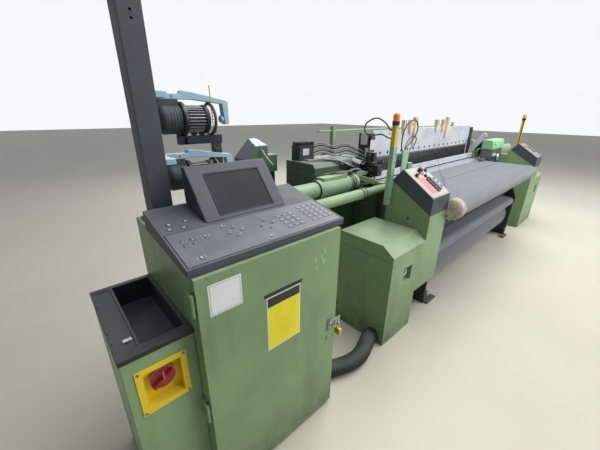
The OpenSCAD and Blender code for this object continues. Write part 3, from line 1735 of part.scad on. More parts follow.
control_cabinet();
cabinet_door();
padlock();
electric_panel();
console_housing();
console_keypad();
monitor_housing();
display_glass();
switch_box();
tool_tray();
switch_plate();
main_switch_knob();
cable_column();
weft_feeders();
feeder_drum_1();
feeder_drum_2();
left_side_frame();
right_side_frame();
cross_beams();
roller_stands();
left_column();
right_column();
low_covers();
left_cover_latch();
right_cover_latch();
panel_boxes();
panel_plates();
emergency_stop();
selector_knob();
stop_button();
start_button();
lamp_posts();
lamp_bases();
beacons();
breast_roll();
cloth_web();
take_up_roller();
press_roller();
cloth_roll();
temples();
sley_beam();
reed();
heald_frame_1();
heald_frame_2();
heald_frame_3();
frame_clips();
heald_guides();
left_rapier();
right_rapier();
guard_tubes();
drive_covers();
drive_motors();
dobby_box();
warp_beam();
back_rest_roller();
warp_sheet();
stop_motion();
cable_harness();
floor_hose();
machine_feet();
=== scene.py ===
"""Finish of the rapier weaving machine: paint, plastics, cloth, yarn and the small pieces.

Places on the machine are in millimetres from the floor corner under the control
cabinet's door: x to the right along the machine, y from the weaver's side to the
warp, z up. The function at() turns them into the frame's metres.
"""
import math
import random

import bmesh
import bpy
from mathutils import Matrix, Vector, noise


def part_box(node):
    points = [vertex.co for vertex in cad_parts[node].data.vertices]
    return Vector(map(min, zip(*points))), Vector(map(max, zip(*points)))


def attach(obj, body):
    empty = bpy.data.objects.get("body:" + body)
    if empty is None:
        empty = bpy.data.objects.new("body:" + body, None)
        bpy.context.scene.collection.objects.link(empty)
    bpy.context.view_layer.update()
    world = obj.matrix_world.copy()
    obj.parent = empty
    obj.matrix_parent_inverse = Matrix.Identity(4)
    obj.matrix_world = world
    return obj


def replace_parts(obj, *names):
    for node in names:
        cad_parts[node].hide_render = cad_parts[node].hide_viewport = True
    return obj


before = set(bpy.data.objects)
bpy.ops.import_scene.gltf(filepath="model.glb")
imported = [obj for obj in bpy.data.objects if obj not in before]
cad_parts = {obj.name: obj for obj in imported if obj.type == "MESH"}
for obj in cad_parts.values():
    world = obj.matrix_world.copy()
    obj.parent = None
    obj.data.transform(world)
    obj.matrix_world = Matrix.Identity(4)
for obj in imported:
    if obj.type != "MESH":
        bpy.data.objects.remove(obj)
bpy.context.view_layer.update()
MM = 0.001
CONSOLE_OVER = 9
CONSOLE_SETBACK = 15
console_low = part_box("console_housing")[0]
ORIGIN = Vector((console_low.x + CONSOLE_OVER * MM, console_low.y - CONSOLE_SETBACK * MM, 0))


def at(x, y, z):
    """Machine millimetres as a place in the scene, in metres."""
    return ORIGIN + Vector((x, y, z)) * MM


def span_of(node):
    """Lowest and highest corner of a CAD node, in the machine's millimetres."""
    low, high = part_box(node)
    return (low - ORIGIN) / MM, (high - ORIGIN) / MM


# Camera, at the photograph's place and angle
CAMERA_AT = (-252.9, -734.8, 1500)
CAMERA_YAW = 47.8
CAMERA_DOWN = 21.3
CAMERA_ROLL = 0.6
SENSOR = 36
PHOTO_WIDTH = 600
FOCAL_PIXELS = 288.9


def make_camera():
    """The camera of the photograph, from its measured place, turn and focal length."""
    data = bpy.data.cameras.new("photo_camera")
    data.sensor_width = SENSOR
    data.lens = SENSOR * FOCAL_PIXELS / PHOTO_WIDTH
    data.clip_start = 0.05
    data.clip_end = 60
    camera = bpy.data.objects.new("photo_camera", data)
    bpy.context.scene.collection.objects.link(camera)
    yaw, down, roll = (math.radians(v) for v in (CAMERA_YAW, CAMERA_DOWN, CAMERA_ROLL))
    forward = Vector((math.cos(yaw) * math.cos(down), math.sin(yaw) * math.cos(down), -math.sin(down)))
    right = Vector((math.sin(yaw), -math.cos(yaw), 0))
    up = right.cross(forward)
    side = right * math.cos(roll) + up * math.sin(roll)
    top = up * math.cos(roll) - right * math.sin(roll)
    turn = Matrix((side, top, -forward)).transposed().to_4x4()
    camera.matrix_world = Matrix.Translation(at(*CAMERA_AT)) @ turn
    bpy.context.scene.camera = camera


make_camera()


# Shader helpers
def srgb(r, g, b):
    """Linear colour with alpha from 0 to 255 screen values."""
    return tuple(((v / 255 + 0.055) / 1.055) ** 2.4 if v > 10 else v / 255 / 12.92 for v in (r, g, b)) + (1,)


def add_node(tree, kind, settings=None, **values):
    """A shader node. Values name its inputs, with _ for a space; a socket is linked in."""
    made = tree.nodes.new(kind)
    for name, value in (settings or {}).items():
        setattr(made, name, value)
    for name, value in values.items():
        put(tree, made.inputs[name.replace("_", " ")], value)
    return made


def put(tree, socket, value):
    """Links an output to a socket, or sets the socket's value."""
    if isinstance(value, bpy.types.NodeSocket):
        tree.links.new(value, socket)
    else:
        socket.default_value = value


def calc(tree, operation, a, b=0.0, clamp=False):
    """The result of one maths node."""
    made = tree.nodes.new("ShaderNodeMath")
    made.operation = operation
    made.use_clamp = clamp
    put(tree, made.inputs[0], a)
    put(tree, made.inputs[1], b)
    return made.outputs[0]


def blend_colour(tree, factor, a, b, mode="MIX"):
    """Two colours or values mixed by a factor."""
    made = tree.nodes.new("ShaderNodeMix")
    made.data_type = "RGBA"
    made.blend_type = mode
    put(tree, made.inputs[0], factor)
    put(tree, made.inputs[6], a)
    put(tree, made.inputs[7], b)
    return made.outputs[2]


def ramp(tree, value, low, high, to_low=0.0, to_high=1.0):
    """Value mapped from low..high to to_low..to_high, smoothly and clamped."""
    made = add_node(tree, "ShaderNodeMapRange", {"interpolation_type": "SMOOTHSTEP"},
                    Value=value, From_Min=low, From_Max=high, To_Min=to_low, To_Max=to_high)
    return made.outputs["Result"]


def noise_at(tree, coordinates, scale, detail=3.0, rough=0.55, stretch=(1, 1, 1)):
    """The value of a noise at a place, stretched along the axes."""
    mapped = add_node(tree, "ShaderNodeMapping", Vector=coordinates, Scale=stretch)
    made = add_node(tree, "ShaderNodeTexNoise", Vector=mapped.outputs[0], Scale=scale, Detail=detail,
                    Roughness=rough)
    return made.outputs[0]


def effect(name, inputs, outputs):
    """An empty node group with named inputs, (name, kind, value), and outputs, (name, kind)."""
    group = bpy.data.node_groups.new(name, "ShaderNodeTree")
    for label, kind, value in inputs:
        socket = group.interface.new_socket(label, in_out="INPUT", socket_type="NodeSocket" + kind)
        socket.default_value = value
    for label, kind in outputs:
        group.interface.new_socket(label, in_out="OUTPUT", socket_type="NodeSocket" + kind)
    return group, group.nodes.new("NodeGroupInput"), group.nodes.new("NodeGroupOutput")


SURFACE = [("Color", "Color"), ("Roughness", "Float"), ("Height", "Float")]


def worn_paint_effect():
    """Sprayed paint: patchy tone, dirt streaks, darker towards the floor, chips, and a pale dusting with
    painted sheen on top faces.
    """
    group, given, result = effect("worn_paint", [
        ("Color", "Color", (0.5, 0.5, 0.5, 1)), ("Grime", "Float", 0.5), ("Chips", "Float", 0.3),
        ("Dust", "Float", 0.3), ("Gloss", "Float", 0.42)], SURFACE)
    place = add_node(group, "ShaderNodeTexCoord").outputs["Object"]
    facing = add_node(group, "ShaderNodeNewGeometry").outputs["Normal"]
    up = add_node(group, "ShaderNodeSeparateXYZ", Vector=facing).outputs["Z"]
    height = add_node(group, "ShaderNodeSeparateXYZ", Vector=place).outputs["Z"]
    patches = noise_at(group, place, 2.2, 4)
    tone = ramp(group, patches, 0.3, 0.7, 0.84, 1.1)
    colour = blend_colour(group, 1.0, given.outputs["Color"], tone, "MULTIPLY")
    streaks = noise_at(group, place, 7, 5, 0.65, (1, 1, 0.14))
    # Darker towards the floor: vertical streaks and a band low down, mixed to a dark olive.
    low_down = ramp(group, height, 0.6, 0.0)
    darkened = calc(group, "ADD", ramp(group, streaks, 0.5, 0.8), calc(group, "MULTIPLY", low_down, 0.55))
    darkened = calc(group, "MULTIPLY", darkened, given.outputs["Grime"], True)
    colour = blend_colour(group, calc(group, "MULTIPLY", darkened, 0.6), colour, srgb(66, 70, 48))
    specks = ramp(group, noise_at(group, place, 34, 6, 0.75), 0.70, 0.74)
    specks = calc(group, "MULTIPLY", specks, given.outputs["Chips"], True)
    colour = blend_colour(group, specks, colour, srgb(70, 78, 66))
    rubbed = ramp(group, noise_at(group, place, 9, 5, 0.7, (1, 1, 0.5)), 0.66, 0.8)
    rubbed = calc(group, "MULTIPLY", rubbed, given.outputs["Chips"], True)
    colour = blend_colour(group, calc(group, "MULTIPLY", rubbed, 0.3), colour, srgb(196, 206, 184))
    # Top faces lighter: a pale dusting together with painted sheen of the overhead light.
    dust_and_sheen = calc(group, "MULTIPLY", ramp(group, up, 0.6, 0.95), ramp(group, patches, 0.25, 0.75, 0.5, 1.0))
    dust_and_sheen = calc(group, "MULTIPLY", dust_and_sheen, given.outputs["Dust"], True)
    colour = blend_colour(group, dust_and_sheen, colour, srgb(196, 200, 184))
    rough = calc(group, "ADD", given.outputs["Gloss"], calc(group, "MULTIPLY", darkened, 0.25))
    rough = calc(group, "ADD", rough, calc(group, "MULTIPLY", patches, 0.12), True)
    lines = noise_at(group, place, 5, 2, 0.5, (1, 1, 30))
    scratch = calc(group, "MULTIPLY", ramp(group, lines, 0.74, 0.76),
                   ramp(group, noise_at(group, place, 3.5, 3), 0.52, 0.62))
    scratch = calc(group, "MULTIPLY", scratch, given.outputs["Chips"], True)
    colour = blend_colour(group, calc(group, "MULTIPLY", scratch, 0.5), colour, srgb(190, 200, 180))
    # Darker still right at the floor.
    foot = calc(group, "MULTIPLY", ramp(group, height, 0.22, 0.0),
                ramp(group, noise_at(group, place, 16, 6, 0.7), 0.35, 0.65))
    foot = calc(group, "MULTIPLY", foot, given.outputs["Grime"], True)
    colour = blend_colour(group, foot, colour, srgb(40, 42, 32))
    peel = calc(group, "MULTIPLY", noise_at(group, place, 260, 2), 0.25)
    dents = calc(group, "MULTIPLY", noise_at(group, place, 6, 1), 1.0)
    put(group, result.inputs["Color"], colour)
    put(group, result.inputs["Roughness"], rough)
    put(group, result.inputs["Height"], calc(group, "ADD", peel, dents))
    return group


def moulded_effect():
    """Moulded plastic or powder coat: fine grain, faint scuffs, and a pale dusting with painted sheen on the
    upper side.
    """
    group, given, result = effect("moulded", [
        ("Color", "Color", (0.1, 0.1, 0.1, 1)), ("Grain", "Float", 420.0), ("Dust", "Float", 0.2),
        ("Gloss", "Float", 0.45)], SURFACE)
    place = add_node(group, "ShaderNodeTexCoord").outputs["Object"]
    facing = add_node(group, "ShaderNodeNewGeometry").outputs["Normal"]
    up = add_node(group, "ShaderNodeSeparateXYZ", Vector=facing).outputs["Z"]
    patches = noise_at(group, place, 5, 5, 0.6)
    colour = blend_colour(group, 1.0, given.outputs["Color"], ramp(group, patches, 0.3, 0.7, 0.88, 1.1),
                          "MULTIPLY")
    scuffs = ramp(group, noise_at(group, place, 22, 7, 0.8, (1, 0.3, 1)), 0.62, 0.75, 0, 0.3)
    # Upper side lighter: a pale dusting and scuffs, together with painted sheen of the overhead light.
    dust_and_sheen = calc(group, "MULTIPLY", ramp(group, up, 0.3, 0.95), ramp(group, patches, 0.3, 0.7, 0.4, 1.0))
    dust_and_sheen = calc(group, "ADD", calc(group, "MULTIPLY", dust_and_sheen, 1.0), scuffs)
    dust_and_sheen = calc(group, "MULTIPLY", dust_and_sheen, given.outputs["Dust"], True)
    colour = blend_colour(group, dust_and_sheen, colour, srgb(150, 154, 156))
    put(group, result.inputs["Color"], colour)
    put(group, result.inputs["Roughness"],
        calc(group, "ADD", given.outputs["Gloss"], calc(group, "MULTIPLY", patches, 0.2), True))
    grain = add_node(group, "ShaderNodeTexNoise", Vector=place, Scale=given.outputs["Grain"], Detail=2.0)
    put(group, result.inputs["Height"], grain.outputs[0])
    return group


def brushed_effect():
    """Ground or drawn metal: fine lines along x, oily stains."""
    group, given, result = effect("brushed", [
        ("Color", "Color", (0.6, 0.6, 0.6, 1)), ("Stain", "Float", 0.4), ("Gloss", "Float", 0.28)], SURFACE)
    place = add_node(group, "ShaderNodeTexCoord").outputs["Object"]
    lines = noise_at(group, place, 900, 3, 0.6, (0.02, 1, 1))
    stains = ramp(group, noise_at(group, place, 12, 6, 0.7), 0.45, 0.75)
    stains = calc(group, "MULTIPLY", stains, given.outputs["Stain"], True)
    colour = blend_colour(group, 1.0, given.outputs["Color"], ramp(group, lines, 0.3, 0.7, 0.85, 1.1),
                          "MULTIPLY")
    colour = blend_colour(group, stains, colour, srgb(70, 62, 50))
    put(group, result.inputs["Color"], colour)
    rough = calc(group, "ADD", given.outputs["Gloss"], calc(group, "MULTIPLY", stains, 0.4))
    put(group, result.inputs["Roughness"],
        calc(group, "ADD", rough, calc(group, "MULTIPLY", lines, 0.15), True))
    put(group, result.inputs["Height"], lines)
    return group


def woven_effect():
    """Plain-woven cloth on the piece's own map: warp lines along v, weft lines along u, and a soft mottle."""
    group, given, result = effect("woven", [
        ("Warp", "Color", (0.3, 0.3, 0.3, 1)), ("Weft", "Color", (0.2, 0.2, 0.2, 1)),
        ("Threads", "Float", 900.0), ("Streaks", "Float", 0.4)], SURFACE)
    map_point = add_node(group, "ShaderNodeTexCoord").outputs["UV"]
    across = add_node(group, "ShaderNodeSeparateXYZ", Vector=map_point)
    over = calc(group, "SINE", calc(group, "MULTIPLY", across.outputs["X"], given.outputs["Threads"]))
    under = calc(group, "SINE", calc(group, "MULTIPLY", across.outputs["Y"], given.outputs["Threads"]))
    weave = calc(group, "MULTIPLY", over, under)
    colour = blend_colour(group, ramp(group, weave, -0.6, 0.6), given.outputs["Warp"], given.outputs["Weft"])
    ends = noise_at(group, map_point, 60, 4, 0.7, (1, 0.03, 1))
    picks = noise_at(group, map_point, 30, 4, 0.7, (0.02, 1, 1))
    mottle = noise_at(group, map_point, 5, 5, 0.6)
    tone = calc(group, "MULTIPLY", ramp(group, ends, 0.3, 0.7, 0.9, 1.08),
                ramp(group, picks, 0.3, 0.7, 0.88, 1.1))
    tone = calc(group, "MULTIPLY", tone, ramp(group, mottle, 0.3, 0.7, 0.92, 1.06))
    tone = calc(group, "ADD", calc(group, "MULTIPLY", calc(group, "SUBTRACT", tone, 1.0),
                                   given.outputs["Streaks"]), 1.0)
    put(group, result.inputs["Color"], blend_colour(group, 1.0, colour, tone, "MULTIPLY"))
    put(group, result.inputs["Roughness"], ramp(group, mottle, 0.3, 0.7, 0.55, 0.75))
    put(group, result.inputs["Height"], calc(group, "ADD", weave, calc(group, "MULTIPLY", picks, 1.5)))
    return group


WORN_PAINT = worn_paint_effect()
MOULDED = moulded_effect()
BRUSHED = brushed_effect()
WOVEN = woven_effect()


def finish(name, group, bump, metallic=0.0, sockets=None, **values):
    """A material: a Principled shader fed by one surface effect."""
    material = bpy.data.materials.new(name)
    material.use_nodes = True
    tree = material.node_tree
    shader = tree.nodes["Principled BSDF"]
    shader.inputs["Metallic"].default_value = metallic
    for label, value in (sockets or {}).items():
        shader.inputs[label].default_value = value
    surface = tree.nodes.new("ShaderNodeGroup")
    surface.node_tree = group
    for label, value in values.items():
        surface.inputs[label.replace("_", " ")].default_value = value
    tree.links.new(surface.outputs["Color"], shader.inputs["Base Color"])
    tree.links.new(surface.outputs["Roughness"], shader.inputs["Roughness"])
    relief = add_node(tree, "ShaderNodeBump", Strength=bump, Distance=0.001, Height=surface.outputs["Height"])
    tree.links.new(relief.outputs[0], shader.inputs["Normal"])
    return material


def paint(name, colour, darkening=0.5, chips=0.3, dust_sheen=0.3, gloss=0.38):
    """Sprayed and worn paint of one colour."""
    return finish(name, WORN_PAINT, 0.25, Color=colour, Grime=darkening, Chips=chips, Dust=dust_sheen, Gloss=gloss)


def plastic(name, colour, grain=420.0, dust_sheen=0.2, gloss=0.4, bump=0.12):
    """Moulded or powder-coated surface of one colour."""
    return finish(name, MOULDED, bump, Color=colour, Grain=grain, Dust=dust_sheen, Gloss=gloss)


def metal(name, colour, stain=0.35, gloss=0.25):
    """Ground or drawn metal of one colour."""
    return finish(name, BRUSHED, 0.08, 1.0, Color=colour, Stain=stain, Gloss=gloss)


def cloth(name, warp, weft, threads=900.0, streaks=0.6, sheen=0.25):
    """Woven material of a warp and a weft colour."""
    return finish(name, WOVEN, 0.3, 0.0, {"Sheen Weight": sheen, "Sheen Roughness": 0.4},
                  Warp=warp, Weft=weft, Threads=threads, Streaks=streaks)


GREEN = paint("green_paint", srgb(128, 156, 112), 0.55, 0.4, 0.35)
PALE_GREEN = paint("pale_green_paint", srgb(140, 168, 130), 0.5, 0.35, 0.2)
DARK_GREEN = paint("dark_green_paint", srgb(66, 88, 66), 0.6, 0.4, 0.25)
BRIGHT_GREEN = paint("bright_green_paint", srgb(150, 205, 150), 0.3, 0.3, 0.3)
SLATE = plastic("slate_plastic", srgb(64, 71, 79), 380.0, 0.2, 0.5)
SLATE_DARK = plastic("dark_slate_plastic", srgb(52, 59, 65), 380.0, 0.12, 0.5)
# Keypad film: the console's slate grey, lightened by a painted reflection of the overhead light.
KEYPAD_SHEEN = plastic("keypad_film_sheen", srgb(84, 91, 100), 600.0, 0.35, 0.35, 0.05)
BLACK = plastic("black_plastic", srgb(30, 31, 34), 300.0, 0.2, 0.45)
BLACK_PAINT = paint("black_paint", srgb(34, 35, 37), 0.4, 0.4, 0.25, 0.4)
YELLOW = paint("yellow_paint", srgb(228, 198, 22), 0.35, 0.3, 0.1, 0.35)
LAMP_YELLOW = paint("lamp_post_yellow", srgb(214, 186, 20), 0.5, 0.3, 0.1, 0.35)
RED = plastic("red_plastic", srgb(150, 36, 40), 500.0, 0.1, 0.25)
DARK_RED = plastic("dark_red_plastic", srgb(92, 20, 30), 500.0, 0.05, 0.2)
BLUE = plastic("blue_plastic", srgb(158, 190, 208), 500.0, 0.15, 0.3)
WHITE = paint("white_paint", srgb(214, 218, 222), 0.35, 0.25, 0.05, 0.35)
PLATE_WHITE = plastic("white_plate", srgb(222, 226, 230), 700.0, 0.1, 0.4)
STEEL = metal("ground_steel", srgb(176, 178, 180))
DULL_STEEL = metal("dull_steel", srgb(130, 132, 134), 0.6, 0.4)
BRASS = metal("brass", srgb(206, 176, 92), 0.25, 0.25)
CHROME = metal("chrome", srgb(196, 198, 200), 0.15, 0.2)
ORANGE = plastic("orange_dome", srgb(250, 140, 20), 700.0, 0.05, 0.2)
WOOD = finish("clip_wood", MOULDED, 0.3, Color=srgb(222, 204, 178), Grain=160.0, Dust=0.1, Gloss=0.6)
RUBBER = plastic("black_rubber", srgb(24, 24, 25), 200.0, 0.3, 0.6)
CLOTH = cloth("woven_cloth", srgb(112, 116, 124), srgb(92, 97, 107))
# The wound cloth: the cloth's colours darkened, painted shade of the roll low in the machine.
SHADED_CLOTH_ROLL = cloth("wound_cloth", srgb(92, 97, 106), srgb(78, 83, 93), 900.0, 0.9)
WARP = cloth("warp_ends", srgb(196, 194, 188), srgb(150, 149, 146), 2200.0, 1.0)
FLUFF = finish("thread_waste", MOULDED, 0.8, Color=srgb(192, 178, 160), Grain=220.0, Dust=0.0, Gloss=0.9)

PLATE_GREY = plastic("grey_line", srgb(120, 122, 124), 700.0, 0.1, 0.4)
# Pale green of the painted highlights on the door's dents.
DENT_HIGHLIGHT_GREEN = paint("dent_highlight_green", srgb(150, 176, 134), 0.6, 0.9, 0.0)
SIGN_YELLOW = plastic("sign_yellow", srgb(236, 222, 30), 700.0, 0.12, 0.35)
ROSE = plastic("rose_rim", srgb(196, 128, 116), 500.0, 0.15, 0.35)
MARK_PALE = plastic("pale_mark", srgb(188, 196, 204), 700.0, 0.2, 0.5)
MARK_DARK = plastic("dark_mark", srgb(30, 33, 38), 700.0, 0.1, 0.5)
MARK_LIME = plastic("lime_mark", srgb(176, 190, 96), 700.0, 0.1, 0.5)
MARK_EDGE = plastic("film_edge", srgb(66, 72, 80), 700.0, 0.1, 0.5)
BAR_GREY = plastic("bar_grey", srgb(196, 202, 208), 500.0, 0.25, 0.35)
PANEL_LIGHT = plastic("panel_light", srgb(190, 186, 178), 600.0, 0.3, 0.4)
PANEL_GREY = plastic("panel_grey", srgb(128, 134, 138), 600.0, 0.3, 0.4)
PINK_LABEL = plastic("pink_field", srgb(222, 132, 130), 700.0, 0.1, 0.4)
MINT = paint("mint_paint", srgb(150, 190, 160), 0.4, 0.35, 0.2)
IRON = metal("dark_iron", srgb(58, 60, 64), 0.5, 0.45)
HEALD_WIRE = metal("heald_wire", srgb(92, 94, 98), 0.4, 0.5)
DENT_WIRE = metal("dent_wire", srgb(104, 107, 112), 0.3, 0.45)
SLEEVE = plastic("cable_sleeve", srgb(26, 27, 29), 160.0, 0.25, 0.5, 0.3)
SLEEVE_GREY = plastic("grey_sleeve", srgb(136, 138, 138), 160.0, 0.35, 0.5, 0.3)
# Near-black of painted shade, for holes and for a post's shaded side.
HOLE_SHADE = plastic("painted_hole_shade", srgb(12, 12, 13), 300.0, 0.0, 0.7)
RIB_STEEL = metal("rib_steel", srgb(120, 122, 126), 0.4, 0.3)
SHED_ENDS = cloth("shed_ends", srgb(158, 164, 176), srgb(120, 126, 138), 2200.0, 1.0)
YARN_RED = plastic("loose_red_yarn", srgb(120, 50, 46), 900.0, 0.0, 0.8, 0.3)
YARN_LIME = plastic("yellow_rod", srgb(206, 210, 60), 600.0, 0.1, 0.4)
YARN_ECRU = plastic("ecru_yarn", srgb(226, 214, 198), 900.0, 0.0, 0.9, 0.5)
RING_BLACK = plastic("feeder_ring", srgb(34, 26, 30), 300.0, 0.15, 0.25)
GUARD_GREY = plastic("guard_ring", srgb(72, 74, 78), 300.0, 0.2, 0.4)
SCUFFED = finish("scuffed_white", WORN_PAINT, 0.3, Color=srgb(206, 208, 210), Grime=1.0, Chips=0.9, Dust=0.0,
                 Gloss=0.5)
WARP_WOUND = finish("wound_warp", BRUSHED, 0.2, 0.0, Color=srgb(128, 136, 150), Stain=0.1, Gloss=0.6)

def screen_glass():
    """Dark glass that mirrors little."""
    made = plastic("screen_glass", srgb(46, 50, 53), 900.0, 0.05, 0.5, 0.02)
    made.node_tree.nodes["Principled BSDF"].inputs["Specular IOR Level"].default_value = 0.12
    return made


SCREEN = screen_glass()


# Finish of each CAD node, and the rounding of its edges in millimetres, 0 for none
DRESS = {
    "control_cabinet": (GREEN, 2), "cabinet_door": (GREEN, 3), "padlock": (BRASS, 1.5),
         "electric_panel": (DULL_STEEL, 0),
    "console_housing": (SLATE, 4), "console_keypad": (KEYPAD_SHEEN, 0.6), "monitor_housing": (SLATE_DARK, 5),
    "display_glass": (SCREEN, 0), "switch_box": (GREEN, 4), "tool_tray": (BLACK, 2.5),
         "switch_plate": (YELLOW, 1.2),
    "main_switch_knob": (RED, 2), "cable_column": (SLATE, 1.5), "weft_feeders": (BLUE, 3),
         "feeder_drum_1": (BLACK, 0),
    "feeder_drum_2": (BLACK, 0), "left_side_frame": (DARK_GREEN, 3), "right_side_frame": (GREEN, 3),
    "cross_beams": (PALE_GREEN, 1.5), "roller_stands": (BLACK_PAINT, 1.5), "left_column": (GREEN, 5),
    "right_column": (GREEN, 5), "low_covers": (GREEN, 4), "left_cover_latch": (CHROME, 1),
         "right_cover_latch": (CHROME, 1),
    "panel_boxes": (SLATE, 5), "panel_plates": (PLATE_WHITE, 0.6), "emergency_stop": (DARK_RED, 2),
    "selector_knob": (BLACK, 1.2), "stop_button": (DARK_RED, 1.5), "start_button": (BLACK, 1.5),
    "lamp_posts": (LAMP_YELLOW, 2), "lamp_bases": (BLACK, 2), "beacons": (ORANGE, 0), "breast_roll": (STEEL, 0),
    "take_up_roller": (RUBBER, 0), "press_roller": (STEEL, 0), "cloth_roll": (STEEL, 0),
         "temples": (DULL_STEEL, 1.5),
    "sley_beam": (DULL_STEEL, 2), "reed": (STEEL, 0), "heald_frame_1": (WHITE, 0), "heald_frame_2": (WHITE, 0),
    "heald_frame_3": (WHITE, 0), "frame_clips": (WOOD, 2), "heald_guides": (BLACK_PAINT, 1.5),
         "left_rapier": (STEEL, 0),
    "right_rapier": (STEEL, 0), "guard_tubes": (PALE_GREEN, 2), "drive_covers": (GREEN, 5),
         "drive_motors": (DULL_STEEL, 2),
    "dobby_box": (DARK_GREEN, 4), "warp_beam": (STEEL, 0), "back_rest_roller": (STEEL, 0),
         "stop_motion": (DULL_STEEL, 0), "cable_harness": (BLACK, 0), "machine_feet": (BLACK_PAINT, 2), }
SHARP = math.radians(32)


def dress_nodes():
    """Gives each CAD node its finish and rounds its edges."""
    for name, (material, rounding) in DRESS.items():
        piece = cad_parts[name]
        piece.data.materials.clear()
        piece.data.materials.append(material)
        if rounding:
            weld = piece.modifiers.new("weld", "WELD")
            weld.merge_threshold = 0.00002
            bevel = piece.modifiers.new("bevel", "BEVEL")
            bevel.width = rounding * MM
            bevel.segments = 2
            bevel.limit_method = "ANGLE"
            bevel.angle_limit = SHARP
            bevel.harden_normals = True


dress_nodes()


# Mesh helpers
def add_box(bm, low, high, matrix=None):
    """A box between two corners, in millimetres, turned by matrix if one is given."""
    low, high = Vector(low), Vector(high)
    made = bmesh.ops.create_cube(bm, size=1)["verts"]
    move = Matrix.Translation((low + high) / 2) @ Matrix.Diagonal((*(high - low), 1))
    bmesh.ops.transform(bm, matrix=(matrix or Matrix.Identity(4)) @ move, verts=made)
    return made


def add_rod(bm, start, end, radius, sides=24, end_radius=None):
    """A round bar from start to end, in millimetres."""
    start, end = Vector(start), Vector(end)
    axis = end - start
    turn = axis.to_track_quat("Z", "Y").to_matrix().to_4x4()
    tip = radius if end_radius is None else end_radius
    return bmesh.ops.create_cone(bm, cap_ends=True, segments=sides, radius1=radius, radius2=tip,
                                 depth=axis.length,
                                 matrix=Matrix.Translation((start + end) / 2) @ turn)["verts"]


def smooth_path(points, steps):
    """A smooth curve through the points, with steps stretches from each to the next."""
    spots = [Vector(p) for p in points]
    path = []
    for i in range(len(spots) - 1):
        a, b = spots[max(i - 1, 0)], spots[i]
        c, d = spots[i + 1], spots[min(i + 2, len(spots) - 1)]
        for k in range(steps):
            t = k / steps
            path.append(0.5 * (2 * b + (c - a) * t + (2 * a - 5 * b + 4 * c - d) * t ** 2
                               + (3 * b - a - 3 * c + d) * t ** 3))
    path.append(spots[-1])
    return path


def add_tube(bm, path, radius, sides=8, radius_at=None):
    """A round tube along a list of points, closed at both ends. radius_at gives each ring's own radius."""
    rings = []
    side = None
    for i, point in enumerate(path):
        ahead = (path[min(i + 1, len(path) - 1)] - path[max(i - 1, 0)]).normalized()
        if side is None:
            side = ahead.orthogonal().normalized()
        side = (side - ahead * side.dot(ahead)).normalized()
        across = ahead.cross(side)
        size = radius_at(i) if radius_at else radius
        ring = [bm.verts.new(point + (side * math.cos(a) + across * math.sin(a)) * size)
                for a in (2 * math.pi * k / sides for k in range(sides))]
        rings.append(ring)
    for lower, upper in zip(rings, rings[1:]):
        for k in range(sides):
            bm.faces.new((lower[k], lower[(k + 1) % sides], upper[(k + 1) % sides], upper[k]))
    bm.faces.new(list(reversed(rings[0])))
    bm.faces.new(rings[-1])


def piece_from(name, build, material, bevel=0.0, smooth=True, body="root"):
    """A mesh piece built in machine millimetres, finished, and riding on its body."""
    bm = bmesh.new()
    build(bm)
    bmesh.ops.recalc_face_normals(bm, faces=bm.faces)
    bmesh.ops.transform(bm, matrix=Matrix.Translation(ORIGIN) @ Matrix.Scale(MM, 4), verts=bm.verts)
    mesh = bpy.data.meshes.new(name)
    bm.to_mesh(mesh)
    bm.free()
    made = bpy.data.objects.new(name, mesh)
    bpy.context.scene.collection.objects.link(made)
    mesh.materials.append(material)
    if smooth:
        mesh.shade_smooth()
        mesh.set_sharp_from_angle(angle=SHARP)
    if bevel:
        cut = made.modifiers.new("bevel", "BEVEL")
        cut.width = bevel * MM
        cut.segments = 2
        cut.limit_method = "ANGLE"
        cut.angle_limit = SHARP
    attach(made, body)
    return made


# Floor hose: corrugated, from the cabinet's side to the left low cover
HOSE_ROUTE = [(651, 150, 52), (671, 150, 52), (691, 150, 52), (800, 100, 52), (900, 64, 52), (1000, 60, 52),
              (1100, 90, 52), (1178, 120, 52), (1198, 120, 52), (1218, 120, 52)]
HOSE_RADIUS = 50
HOSE_RIB = 2.5
HOSE_STEPS = 16


def make_floor_hose():
    """The hose, ribbed ring by ring."""
    path = smooth_path(HOSE_ROUTE, HOSE_STEPS)

    def rib(i):
        return HOSE_RADIUS - (HOSE_RIB if i % 2 else 0)

    made = piece_from("corrugated_hose", lambda bm: add_tube(bm, path, HOSE_RADIUS, 32, rib), RUBBER)
    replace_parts(made, "floor_hose")


make_floor_hose()


# Cloth and warp: each web follows its rollers, listed as y, z and turning radius.
# The radius is positive where the web turns anticlockwise seen from the right.
WEB = 2
ROLL_FIT = 0.4
breast_low, breast_high = span_of("breast_roll")
takeup_low, takeup_high = span_of("take_up_roller")
press_low, press_high = span_of("press_roller")
wound_low, wound_high = span_of("cloth_roll")
cloth_low, cloth_high = span_of("cloth_web")
rest_low, rest_high = span_of("back_rest_roller")
beam_low, beam_high = span_of("warp_beam")
CLOTH_X = (cloth_low.x, cloth_high.x)
CLOTH_Z = breast_high.z + ROLL_FIT + WEB / 2
FELL_Y = cloth_high.y
WARP_RADIUS = 292


def roller(low, high, sign, radius=None):
    """A roller's middle and its turning radius with the web on it."""
    size = radius or (high.z - low.z) / 2
    return ((low.y + high.y) / 2, (low.z + high.z) / 2, sign * (size + ROLL_FIT + WEB / 2))


def tangent_angle(a, b):
    """Angle at which the web leaves roller a for roller b."""
    across = (b[0] - a[0], b[1] - a[1])
    return math.atan2(across[1], across[0]) - math.acos((a[2] - b[2]) / math.hypot(*across))


